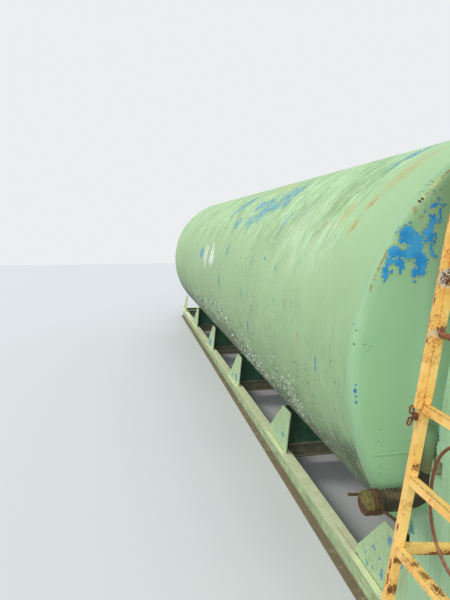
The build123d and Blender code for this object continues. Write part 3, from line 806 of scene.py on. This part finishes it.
def worn_paint(name, colour, shade, side=None, wear=0.5, dust=0.3, rust=0.3, blue=0.1, low_dirt=0.3,
               marks=(), painted_shade_edge=None):
    """Painted steel plate. side is the colour of a beam's upright faces, and the amounts are from
    0 to 1. Upright faces get a painted shade just under a beam's top flange. painted_shade_edge is a place
    along the tank and a height: past both the wall gets a painted shade, a near black green with a jagged
    edge."""
    made, tree = new_finish(name)
    spot = place(tree)
    y, z = split(tree, spot)[1:3]
    tone = cloud(tree, spot, 2.2, 6, 0.6)
    fine = cloud(tree, spot, 110.0, 4, 0.7)
    grain = cloud(tree, spot, 34.0, 5, 0.7)
    blotch = cloud(tree, spot, 9.0, 5, 0.65)
    out = layer(tree, shade, colour, step(tree, tone, 0.38, 0.62))
    upright = calc(tree, "SUBTRACT", 1.0, facing_up(tree))
    if side is not None:
        out = layer(tree, out, side, upright, step(tree, blotch, 0.30, 0.60, 0.75, 1))
        scraped_line = cloud(tree, stretch(tree, spot, (1, 0.05, 1)), 60.0, 4, 0.7)
        out = layer(tree, out, colour, upright, step(tree, scraped_line, 0.52, 0.62), 0.6)
        out = layer(tree, out, tint(106, 124, 90), upright, step(tree, scraped_line, 0.46, 0.36), 0.6)
        # painted shade: a dark band on upright faces just under a beam's top flange
        under = both(tree, step(tree, z, beam_top - 0.080, beam_top - 0.030),
                     step(tree, z, beam_top - 0.012, beam_top - 0.017))
        out = layer(tree, out, tint(82, 84, 60), upright, under, 0.65)
    else:
        runs = cloud(tree, stretch(tree, spot, (1, 1, 0.08)), 45.0, 3)
        out = layer(tree, out, tint(110, 122, 92), upright, step(tree, runs, 0.5, 0.75), 0.30)
    soiled = both(tree, step(tree, z, 0.32, 0.02), step(tree, blotch, 0.25, 0.7), low_dirt)
    out = layer(tree, out, tint(110, 104, 76), soiled)
    buried = both(tree, step(tree, z, 0.060, 0.030), step(tree, blotch, 0.20, 0.50, 0.6, 1))
    out = layer(tree, out, tint(124, 110, 84), buried)
    dusty = both(tree, facing_up(tree), step(tree, z, 0.05, 0.10), step(tree, blotch, 0.40, 0.60), dust)
    out = layer(tree, out, tint(222, 212, 176), dusty)
    flake_place = flaked(tree, spot, 80.0)
    torn = cloud(tree, flake_place, 22.0, 4, 0.7)
    speck, luck = cells(tree, spot, 120.0)
    specks = both(tree, step(tree, speck, 0.42, 0.28), step(tree, luck, 0.72, 0.76),
                  step(tree, blotch, 0.40, 0.56))
    out = layer(tree, out, tint(92, 112, 82), specks, 0.65)
    chipped = both(tree, step(tree, torn, 0.57, 0.60), step(tree, tone, 0.48, 0.56))
    out = layer(tree, out, tint(88, 140, 164), chipped, blue)
    worn = both(tree, edges(tree, 0.005), step(tree, grain, 0.62 - 0.3 * wear, 0.70 - 0.3 * wear))
    rusting = both(tree, step(tree, grain, 0.57, 0.62), step(tree, blotch, 0.52, 0.60), rust)
    rust_tone = layer(tree, tint(100, 66, 42), tint(164, 122, 78), step(tree, fine, 0.35, 0.65))
    out = layer(tree, out, rust_tone, either(tree, rusting, both(tree, worn, 0.8)))
    height = calc(tree, "SUBTRACT", calc(tree, "MULTIPLY", fine, 0.2), calc(tree, "MULTIPLY", worn, 0.7))
    if marks:
        small = flaked(tree, spot, 95.0)
        side_place = side_on(tree, small)
        small_torn = cloud(tree, small, 60.0, 3, 0.75)
        chip = ragged(tree, side_place, marks, small_torn, 3.0)
        blue_tone = layer(tree, tint(96, 156, 186), tint(66, 128, 168), step(tree, fine, 0.4, 0.6))
        out = layer(tree, out, blue_tone, chip, 0.85)
        height = calc(tree, "SUBTRACT", height, chip)
    # painted shade: past the edge the wall is a near black green, for the shade near the head; the edge is
    # jagged
    if painted_shade_edge is not None:
        edge_along, edge_low = painted_shade_edge
        ripple = step(tree, cloud(tree, spot, 26.0, 4, 0.75), 0.3, 0.7, -0.016, 0.016)
        jagged = calc(tree, "ADD", y, ripple)
        wall_shade = both(tree, step(tree, jagged, edge_along - 0.002, edge_along + 0.002),
                    step(tree, z, edge_low, edge_low + 0.03))
        out = layer(tree, out, tint(34, 52, 40), wall_shade, 0.9)
    rough = step(tree, fine, 0.2, 0.8, 0.52, 0.78)
    return close_finish(made, out, rough, height, relief=0.0010)


print("the rails' tops are", round(beam_top, 3), "m up")

# %% Dress the skid
skid_green = worn_paint("skid_green", tint(234, 240, 192), tint(222, 232, 180), tint(170, 196, 146),
                        rust=0.10, low_dirt=0.35)
beams = [name for name in nodes if name.startswith(("skid_rail", "end_beam", "rail_doubler"))]
dress(skid_green, *beams)
cross_green = worn_paint("cross_green", tint(196, 188, 158), tint(170, 164, 130), tint(104, 104, 84),
                         wear=0.6, dust=0.6, rust=0.6, low_dirt=0.6)
crosses = [name for name in nodes if name.startswith("cross_beam")]
dress(cross_green, *crosses)
wing_chips = [
    (2.152, 0.601, 0.024, 0.034, 0), (2.521, 0.265, 0.013, 0.018, 0), (2.373, 0.288, 0.022, 0.016, 0),
    (2.316, 0.446, 0.020, 0.012, 0), (2.185, 0.346, 0.022, 0.030, 0), (2.299, 0.310, 0.020, 0.012, 0),
    (1.998, 0.544, 0.015, 0.024, 0), (2.23, 0.42, 0.014, 0.016, 0), (2.41, 0.35, 0.010, 0.016, 0),
    (4.34, 0.40, 0.05, 0.02, 0), (6.70, 0.33, 0.08, 0.05, 0), (6.95, 0.30, 0.05, 0.03, 0),
    (9.18, 0.33, 0.12, 0.08, 0),
]
wall_chips = [
    (1.915, 0.885, 0.050, 0.030, 0), (1.865, 0.865, 0.020, 0.020, 0), (1.945, 0.450, 0.050, 0.050, 0),
    (1.690, 1.560, 0.016, 0.034, 0), (1.675, 1.820, 0.014, 0.030, 0), (1.30, 2.60, 0.02, 0.03, 0),
]
wing_green = worn_paint("wing_green", tint(186, 210, 160), tint(172, 198, 150), wear=0.45, rust=0.10,
                        blue=0.20, low_dirt=0.2, marks=wing_chips)
dress(wing_green, "wing_gussets_left", "wing_gussets_right")
# painted shade: the saddle webs get a far darker green than the gussets, for the deep shade under the shell
shaded_web_green = worn_paint("shaded_web_green", tint(50, 94, 68), tint(36, 76, 54), wear=0.3)
webs = [name for name in nodes if name.startswith(("saddle_web", "saddle_pads"))]
dress(shaded_web_green, *webs)
print("beams:", len(beams) + len(crosses), "webs:", len(webs))

# %% Dress the shelter, the manway and the vent
shelter_green = worn_paint("shelter_green", tint(184, 222, 178), tint(172, 210, 166), rust=0.20, blue=0.30,
                           low_dirt=0.4, marks=wall_chips, painted_shade_edge=(1.680, 1.36))
shelter = [name for name in nodes if name.startswith(("shelter", "pump_deck"))]
dress(shelter_green, *shelter)
fitting_green = worn_paint("fitting_green", tint(134, 164, 122), tint(112, 142, 104), wear=0.7, dust=0.4,
                           rust=0.5, low_dirt=0.0)
dress(fitting_green, "manway_neck", "manway_lid", "vent_pipe")
print("shelter plates:", len(shelter))


# %% [markdown]
# ## The ladder
# Boots and hands have worn the yellow paint off the rungs. It is gone in clusters of dark rust
# along the upper edges, in spots on the stiles, and here and there down to a grey primer.

# %% Marks on the ladder: along, up, half sizes, turn
tread_rust = [
    (1.105, 1.2040, 0.045, 0.0028, 0), (1.175, 1.2045, 0.030, 0.0024, 0), (1.020, 1.2035, 0.060, 0.0030, 0),
    (0.960, 0.8790, 0.060, 0.0030, 0), (1.130, 0.8795, 0.060, 0.0024, 0), (1.050, 2.8290, 0.080, 0.0030, 0),
]
edge_rust = [
    (1.200, 1.529, 0.100, 0.020, 0), (1.060, 1.529, 0.060, 0.020, 0), (1.240, 1.204, 0.050, 0.020, 0),
    (1.140, 0.879, 0.150, 0.020, 0), (1.220, 1.854, 0.100, 0.020, 0), (1.080, 1.854, 0.060, 0.020, 0),
    (1.150, 2.179, 0.100, 0.020, 0), (1.150, 2.504, 0.100, 0.020, 0), (1.150, 3.154, 0.100, 0.020, 0),
]
stile_rust = [
    (1.315, 1.106, 0.012, 0.045, 0), (1.315, 1.034, 0.014, 0.050, 0), (1.315, 1.289, 0.012, 0.030, 0),
    (1.295, 1.000, 0.014, 0.040, 0), (1.290, 1.142, 0.010, 0.030, 0), (1.315, 2.132, 0.010, 0.020, 0),
    (1.325, 1.918, 0.008, 0.012, 0), (1.290, 1.574, 0.006, 0.030, 0), (1.330, 2.42, 0.014, 0.110, 0),
    (1.330, 2.62, 0.012, 0.060, 0), (1.315, 2.303, 0.010, 0.040, 0), (1.330, 2.05, 0.008, 0.050, 0),
    (1.285, 2.180, 0.020, 0.030, 0), (1.290, 2.40, 0.020, 0.060, 0), (1.285, 2.70, 0.012, 0.030, 0),
]
bare_steel = [(1.275, 2.165, 0.030, 0.022, 0), (1.280, 2.40, 0.030, 0.045, 0), (1.20, 2.43, 0.03, 0.03, 0)]
print("marks on the ladder:", sum(map(len, (tread_rust, edge_rust, stile_rust, bare_steel))))


# %% Yellow paint with rust clusters
def ladder_finish(name):
    """Two yellows, with rust where the marks and the noise say that the paint is gone."""
    made, tree = new_finish(name)
    spot = place(tree)
    tone = cloud(tree, spot, 5.0, 5, 0.6)
    fine = cloud(tree, spot, 160.0, 4, 0.7)
    grain = cloud(tree, spot, 75.0, 5, 0.72)
    cluster = cloud(tree, spot, 8.0, 4, 0.6)
    out = layer(tree, tint(248, 194, 100), tint(255, 210, 124), step(tree, tone, 0.35, 0.65))
    rubbed = step(tree, cloud(tree, spot, 22.0, 5, 0.7), 0.50, 0.66)
    out = layer(tree, out, tint(216, 148, 66), rubbed, 0.40)
    flake_place = flaked(tree, spot, 260.0)
    side = side_on(tree, flake_place)
    torn = cloud(tree, flake_place, 120.0, 3, 0.8)
    worn_off = soft(tree, side, stile_rust, 1.4, 0.3)
    small_place = flaked(tree, spot, 320.0)
    tread = side_on(tree, small_place)
    trodden = soft(tree, tread, tread_rust, 1.4, 0.3)
    small_torn = cloud(tree, small_place, 170.0, 3, 0.8)
    placed = either(tree, beats(tree, worn_off, torn, 0.44), beats(tree, trodden, small_torn, 0.42))
    on_edge = edges(tree, 0.005)
    edge_chips = both(tree, on_edge, step(tree, grain, 0.50, 0.53), step(tree, cluster, 0.47, 0.54))
    odd_chips = both(tree, step(tree, grain, 0.62, 0.64), step(tree, cluster, 0.50, 0.56))
    lined = both(tree, edges(tree, 0.009), soft(tree, side, edge_rust, 1.3, 0.7),
                 step(tree, grain, 0.43, 0.47))
    chips = either(tree, placed, edge_chips, odd_chips, lined)
    halo = either(tree, worn_off, trodden, step(tree, cluster, 0.50, 0.60))
    out = layer(tree, out, tint(206, 128, 52), halo, step(tree, grain, 0.42, 0.56), 0.65)
    bare = both(tree, soft(tree, side, bare_steel, 1.2, 0.8), step(tree, grain, 0.42, 0.46))
    out = layer(tree, out, tint(198, 200, 190), bare)
    rust_tone = layer(tree, tint(66, 36, 24), tint(150, 84, 40), step(tree, fine, 0.40, 0.60))
    out = layer(tree, out, rust_tone, chips)
    height = calc(tree, "SUBTRACT", calc(tree, "MULTIPLY", fine, 0.2), calc(tree, "MULTIPLY", chips, 0.8))
    rough = step(tree, chips, 0, 1, 0.5, 0.85)
    return close_finish(made, out, rough, height, relief=0.0010)


ladder_yellow = ladder_finish("ladder_yellow")
painted_ladder = ("ladder_stile_far", "ladder_stile_near", "ladder_rungs", "ladder_struts",
                  "ladder_side_bar")
dress(ladder_yellow, *painted_ladder)


# %% [markdown]
# ## Rust, rubber and bare metal
# The round rung, the lug and the wall cleat have lost nearly all their paint. Rust is never
# one brown: it goes from near black in the pits to orange where it is fresh, and it is coarse.
# The hose is old rubber with dust in its folds, and the coupling is dull brown metal.

# %% Rust and bare metal
def rough_metal(name, dark, middle, light, coarse=30.0, relief=0.0015, shine=0.0, split_at=None,
                lower=None, blend=0.01):
    """Three tones by noise. Below the height split_at the lower colour takes over."""
    made, tree = new_finish(name)
    spot = place(tree)
    broad = cloud(tree, spot, coarse, 5, 0.65)
    fine = cloud(tree, spot, coarse * 6, 4, 0.7)
    out = layer(tree, dark, middle, step(tree, broad, 0.35, 0.6))
    out = layer(tree, out, light, step(tree, fine, 0.52, 0.72))
    if split_at is not None:
        z = split(tree, spot)[2]
        torn = calc(tree, "ADD", z, step(tree, broad, 0.3, 0.7, -0.012, 0.012))
        out = layer(tree, out, lower, step(tree, torn, split_at + blend, split_at - blend))
    height = calc(tree, "ADD", broad, calc(tree, "MULTIPLY", fine, 0.5))
    rough = step(tree, fine, 0.2, 0.8, 0.55, 0.9)
    metallic = step(tree, broad, 0.4, 0.7, shine * 0.6, shine)
    return close_finish(made, out, rough, height, relief, metallic)


rust_finish = rough_metal("coarse_rust", tint(74, 42, 26), tint(142, 86, 48), tint(198, 134, 72))
dress(rust_finish, "ladder_round_rung", "ladder_lug")
cleat_rust = rough_metal("cleat_rust", tint(96, 84, 60), tint(140, 150, 112), tint(176, 186, 146),
                         coarse=34.0)
dress(cleat_rust, "wall_cleat")
# painted shade: the elbow's greens are darker than the head's, so that its sunlit top doesn't stand out;
# below olive_below it turns a darker olive
olive_below = 1.38
elbow_shaded_green = rough_metal("elbow_shaded_green", tint(104, 134, 92), tint(114, 146, 100), tint(122, 154, 108),
                          coarse=14.0, relief=0.0006, split_at=olive_below, lower=tint(112, 116, 74),
                          blend=0.07)
dress(elbow_shaded_green, "fill_elbow")
bolt_finish = rough_metal("bolt_rust", tint(58, 40, 30), tint(98, 68, 46), tint(136, 100, 70),
                          coarse=60.0, relief=0.0006, shine=0.3)
dress(bolt_finish, "manway_bolts")
coupling_brown = rough_metal("coupling_brown", tint(48, 34, 24), tint(92, 66, 42), tint(140, 104, 66),
                             coarse=40.0, relief=0.0008, shine=0.35)
dress(coupling_brown, "fill_coupler", "cam_levers", "cable_clips")
cap_low, cap_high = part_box("fill_cap")
cap_middle = (cap_low.z + cap_high.z) / 2
cap_yellow = rough_metal("cap_yellow", tint(74, 66, 30), tint(112, 102, 48), tint(176, 166, 104),
                         coarse=44.0, relief=0.0008, shine=0.2, split_at=cap_middle, lower=tint(84, 54, 30))
dress(cap_yellow, "fill_cap")


# %% Rubber and cable
def rubber(name, dark, dusty, coarse, relief):
    """Rubber with dust on what faces up and in patches."""
    made, tree = new_finish(name)
    spot = place(tree)
    broad = cloud(tree, spot, coarse, 5, 0.6)
    fine = cloud(tree, spot, coarse * 7, 4, 0.7)
    settled = both(tree, facing_up(tree), step(tree, broad, 0.35, 0.6))
    dust = either(tree, settled, step(tree, broad, 0.55, 0.75))
    out = layer(tree, dark, dusty, dust, 0.8)
    rough = step(tree, fine, 0.2, 0.8, 0.65, 0.9)
    return close_finish(made, out, rough, fine, relief)


hose_finish = rubber("hose_rubber", tint(52, 42, 30), tint(112, 94, 62), coarse=18.0, relief=0.0008)
dress(hose_finish, "fill_hose")
cable_finish = rubber("cable_sheath", tint(124, 72, 48), tint(176, 126, 92), coarse=30.0, relief=0.0003)
cable_curve.materials.append(cable_finish)


# %% [markdown]
# ## Weld beads
# Plates that meet are welded, and the bead shows as a low rough ridge along the joint, often
# rusty. A bead is a tube that is half sunk in the joint, with a radius that changes from ring
# to ring as a welder's hand does. One mesh holds all the beads of one place.

# %% Lay a bead
bead_bumps = 140        # in a metre
bead_least = 0.85
bead_swell = 0.45


def lay_bead(mesh, corners, radius, pitch=0.007, sides=6):
    """A rough tube along straight runs between corners."""
    for start, end in zip(corners, corners[1:]):
        start, end = Vector(start), Vector(end)
        way = end - start
        count = max(2, round(way.length / pitch))
        across = way.normalized().orthogonal().normalized()
        other = way.normalized().cross(across)
        rings = []
        for i in range(count + 1):
            spot = start + way * (i / count)
            swell = radius * (bead_least + bead_swell * noise.noise(spot * bead_bumps))
            ring = []
            for k in range(sides):
                turn = 2 * math.pi * k / sides
                outward = across * math.cos(turn) + other * math.sin(turn)
                ring.append(mesh.verts.new(spot + outward * swell))
            rings.append(ring)
        for low, high in zip(rings, rings[1:]):
            for k in range(sides):
                n = (k + 1) % sides
                mesh.faces.new((low[k], low[n], high[n], high[k]))
        mesh.faces.new(reversed(rings[0]))
        mesh.faces.new(rings[-1])


def finish_piece(mesh, name, finish):
    """Turns the bmesh into a piece that rides with the tank."""
    mesh.normal_update()
    data = bpy.data.meshes.new(name)
    mesh.to_mesh(data)
    mesh.free()
    for face in data.polygons:
        face.use_smooth = True
    data.materials.append(finish)
    made = bpy.data.objects.new(name, data)
    bpy.context.scene.collection.objects.link(made)
    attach(made, "root")
    print(name, "has", len(data.polygons), "faces")


print("made lay_bead and finish_piece")

# %% Beads at the gussets
wing_face = 1.045
wing_thick = 0.012
wing_long = 0.620
first_wing_long = 0.645
wing_pitch = 2.300
pitched_wings = 5
gusset_radius = 0.0045
wing_low, wing_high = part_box("wing_gussets_left")
wing_starts = [wing_low.y + wing_pitch * i for i in range(pitched_wings)] + [wing_high.y - wing_long]
bead_rust = rough_metal("bead_rust", tint(112, 78, 50), tint(168, 132, 88), tint(196, 184, 134),
                        coarse=26.0, relief=0.001)
beads = bmesh.new()
for side in (-1, 1):
    for first in wing_starts:
        last = first + (first_wing_long if first == wing_starts[0] else wing_long)
        for face in (wing_face - wing_thick / 2, wing_face + wing_thick / 2):
            x = side * face
            lay_bead(beads, [(x, first, beam_top), (x, last, beam_top)], gusset_radius)
finish_piece(beads, "gusset_beads", bead_rust)

# %% The seam across the near head
seam_reach = 1.29
seam_radius = 0.006
seam_pitch = 0.012
seam_bead = bmesh.new()
lay_bead(seam_bead, [(-seam_reach, head_face, seam_high), (seam_reach, head_face, seam_high)],
         seam_radius, seam_pitch)
finish_piece(seam_bead, "head_seam", bpy.data.materials["near_head_green"])

# %% Beads round the rungs
ladder_lean = math.radians(7.9)
ladder_foot = Vector((-1.5846, 0, 0.400))
tube_half = 0.019
rung_low, rung_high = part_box("ladder_rungs")
rung_pitch = 0.325
rung_first = 0.535
rung_places = 9
round_rung = 5        # this one is round and has no bead
rung_radius = 0.0028
rung_step = 0.006
rung_sides = 5
round_tube = ((-1, -1), (-1, 1), (1, 1), (1, -1), (-1, -1))
rung_beads = bmesh.new()
leaned = Matrix.Translation(ladder_foot) @ Matrix.Rotation(ladder_lean, 4, "Y")
for i in range(rung_places):
    if i == round_rung:
        continue
    high = (rung_first + rung_pitch * i - ladder_foot.z) / math.cos(ladder_lean)
    for y in (rung_low.y, rung_high.y):
        corners = [leaned @ Vector((a * tube_half, y, high + b * tube_half)) for a, b in round_tube]
        lay_bead(rung_beads, corners, rung_radius, rung_step, rung_sides)
finish_piece(rung_beads, "rung_beads", ladder_yellow)

# %% [markdown]
# ## Bare patches
# Where the green has come off, the older blue coat shows. Each patch is laid out on a fine net
# of uneven cells. A cell that lies inside the marks, with some noise added, is bare, unless it
# lies in one of the islands. On the head the cells next to the patch are lifted green paint,
# seen as a pale torn lip. On the shell the cells are long and lie round it, as the streaks do.

# %% Lay out a patch
net_grain, net_stir = 1.17, 0.6         # how fast and how far the net's corners move
fine_grain, fine_share = 2.6, 0.6       # the finer noise beside the coarse one
search = 1.6                            # how far past a mark its torn edge may reach
bare_limit = 1.02
noise.seed_set(7)                       # without it noise_vector differs from run to run


def distance_to(u, v, marks):
    """Distance to the nearest mark, 0 at its middle and 1 at its edge."""
    nearest = math.inf
    for mark_u, mark_v, half_u, half_v, turn in marks:
        lean = math.radians(turn)
        across, rise = u - mark_u, v - mark_v
        along_mark = (across * math.cos(lean) + rise * math.sin(lean)) / half_u
        over_mark = (rise * math.cos(lean) - across * math.sin(lean)) / half_v
        nearest = min(nearest, math.hypot(along_mark, over_mark))
    return nearest


def net_point(i, j, cell):
    """A corner of the net, moved a little from its place."""
    shift = noise.noise_vector(Vector((i, j, 0)) * net_grain) * net_stir
    return (i + shift.x) * cell[0], (j + shift.y) * cell[1]


def bare_cells(marks, islands, cell, grain, tear):
    """The cells inside the marks. grain is noise bumps in a metre each way, tear how deep it cuts."""
    chosen = set()
    for mark in marks:
        reach = search * max(mark[2], mark[3])
        for i in range(math.floor((mark[0] - reach) / cell[0]), math.ceil((mark[0] + reach) / cell[0])):
            for j in range(math.floor((mark[1] - reach) / cell[1]), math.ceil((mark[1] + reach) / cell[1])):
                u, v = (i + 0.5) * cell[0], (j + 0.5) * cell[1]
                torn = tear * noise.noise(Vector((u * grain[0], v * grain[1], 0)))
                finer = Vector((u * grain[0] * fine_grain, v * grain[1] * fine_grain, 4))
                torn += tear * fine_share * noise.noise(finer)
                if distance_to(u, v, marks) + torn < bare_limit and distance_to(u, v, islands) + torn > 1:
                    chosen.add((i, j))
    return chosen


def cell_piece(chosen, cell, where, name, finish):
    """A thin plate of the chosen cells. where turns a place on the net into a point in space."""
    mesh = bmesh.new()
    corners = {}
    for i, j in sorted(chosen):
        ring = []
        for corner in ((i, j), (i + 1, j), (i + 1, j + 1), (i, j + 1)):
            if corner not in corners:
                corners[corner] = mesh.verts.new(where(*net_point(*corner, cell)))
            ring.append(corners[corner])
        mesh.faces.new(ring)
    finish_piece(mesh, name, finish)


print("made distance_to, net_point, bare_cells and cell_piece")

# %% Lay out the patch on the head
head_cell = (0.0050, 0.0050)
lip_grain, lip_gaps = 0.7, -0.05
bare = bare_cells(blue_patch, green_islands, head_cell, (75, 75), 0.55)
lip = set()
for i, j in sorted(bare):
    for beside in ((i + 1, j), (i - 1, j), (i, j + 1), (i, j - 1)):
        if beside not in bare and noise.noise(Vector((*beside, 0)) * lip_grain) > lip_gaps:
            lip.add(beside)
print("cells on the head:", len(bare), "bare,", len(lip), "lip")


# %% The old blue coat
thin_relief = 0.0005
coat_stand = 0.0006
lip_stand = 0.0012


def blue_coat(name, light, deep, dark, scale):
    """An older coat: light and deep by broad noise, with a dark dull tone over both."""
    made, tree = new_finish(name)
    spot = place(tree)
    tone = cloud(tree, spot, scale, 5, 0.6)
    blue = layer(tree, light, deep, step(tree, tone, 0.42, 0.58))
    dull = cloud(tree, spot, 60.0, 5, 0.7)
    blue = layer(tree, blue, dark, step(tree, dull, 0.56, 0.70, 0, 0.6))
    return close_finish(made, blue, step(tree, dull, 0.2, 0.8, 0.40, 0.60), dull, thin_relief)


def loose_paint(name, scale, dark, light, smooth):
    """Green paint that has come loose, in two tones."""
    made, tree = new_finish(name)
    tone = cloud(tree, place(tree), scale, 3)
    green = layer(tree, dark, light, step(tree, tone, 0.42, 0.58))
    return close_finish(made, green, step(tree, tone, 0, 1, smooth, 0.7), tone, thin_relief)


def on_head(stand):
    """Takes a place on the net to the head, that far in front of it."""
    return lambda u, v: (u, head_face - stand, v)


head_blue = blue_coat("old_blue_coat", tint(66, 164, 218), tint(28, 142, 208), tint(24, 106, 168), 11.0)
lip_paint = loose_paint("torn_lip", 80.0, tint(140, 166, 116), tint(200, 214, 160), 0.6)
cell_piece(bare, head_cell, on_head(coat_stand), "blue_patch", head_blue)
cell_piece(lip, head_cell, on_head(lip_stand), "torn_lip", lip_paint)


# %% Streaks and scrapes on the shell
patch_stand = 0.0008


def on_shell(around, along, reach=shell_radius + patch_stand):
    """A point from metres round the shell and along it, kept inside the shell's own width."""
    turn = around / shell_radius
    return min(reach * math.sin(turn), shell_radius), along, axis_high + reach * math.cos(turn)


streak_cell = (0.020, 0.007)
chip_cell = (0.008, 0.008)
scrape_cell = (0.012, 0.016)
shell_blue = blue_coat("shell_blue", tint(106, 182, 208), tint(98, 166, 168), tint(112, 166, 136), 16.0)
chip_blue = blue_coat("chip_blue", tint(104, 156, 178), tint(88, 140, 160), tint(110, 150, 140), 16.0)
bare_finish = blue_coat("scraped_bare", tint(252, 252, 246), tint(226, 230, 222), tint(120, 122, 112), 30.0)
strip_finish = blue_coat("blue_strip", tint(70, 150, 204), tint(44, 126, 186), tint(40, 100, 160), 16.0)
for name, marks, cell, grain, tear, finish in (
    ("blue_streaks", blue_streaks, streak_cell, (5, 70), 3.2, shell_blue),
    ("blue_chips", blue_chips, chip_cell, (30, 50), 1.2, chip_blue),
    ("scrapes", white_scrapes, scrape_cell, (6, 34), 0.7, bare_finish),
    ("blue_strip", blue_strip, scrape_cell, (12, 20), 0.4, strip_finish),
):
    cell_piece(bare_cells(marks, [], cell, grain, tear), cell, on_shell, name, finish)

# %% [markdown]
# ## Flaking paint
# Low on the side the paint has lifted in small curled flakes, in patches. From afar they read
# as bright flecks with a dark shadow under each. A flake is a small plate with a torn outline
# that is fast to the shell at its upper side and stands off below. One mesh holds them all.

# %% Flakes on the lower side
random.seed(7)
flakes_in_patch = 150
flake_corners = 6
flake_stand = 0.0004
flake_small, flake_large = 0.004, 0.010
belly_from, belly_to = 2.3, 3.3         # metres round the shell from its top
head_gap = 0.1
grow_from, grow_rate = 3, 0.15          # further along the tank only large flakes would show
flakes = bmesh.new()
for patch_round, patch_along, reach_round, reach_along, _ in flake_patches:
    for i in range(flakes_in_patch):
        around = random.gauss(patch_round, reach_round * 0.7)
        along = random.gauss(patch_along, reach_along * 0.8)
        if not belly_from < abs(around) < belly_to or along < head_face + head_gap:
            continue
        size = random.uniform(flake_small, flake_large) * (1 + max(0, along - grow_from) * grow_rate)
        lift = size * random.uniform(0.4, 1.2)
        heading = random.gauss(math.pi if around < 0 else 0, 0.7)
        corners = []
        for k in range(flake_corners):
            angle = heading + 2 * math.pi * k / flake_corners
            far = size * random.uniform(0.5, 1.1)
            reach = shell_radius + flake_stand + lift * (0.5 + 0.5 * math.cos(angle - heading)) ** 2
            spot = on_shell(around + far * math.cos(angle), along + far * math.sin(angle), reach)
            corners.append(flakes.verts.new(spot))
        flakes.faces.new(corners)
flake_finish = loose_paint("flake_paint", 40.0, tint(176, 202, 162), tint(236, 242, 222), 0.5)
finish_piece(flakes, "paint_flakes", flake_finish)


# %% Update the view layer
bpy.context.view_layer.update()
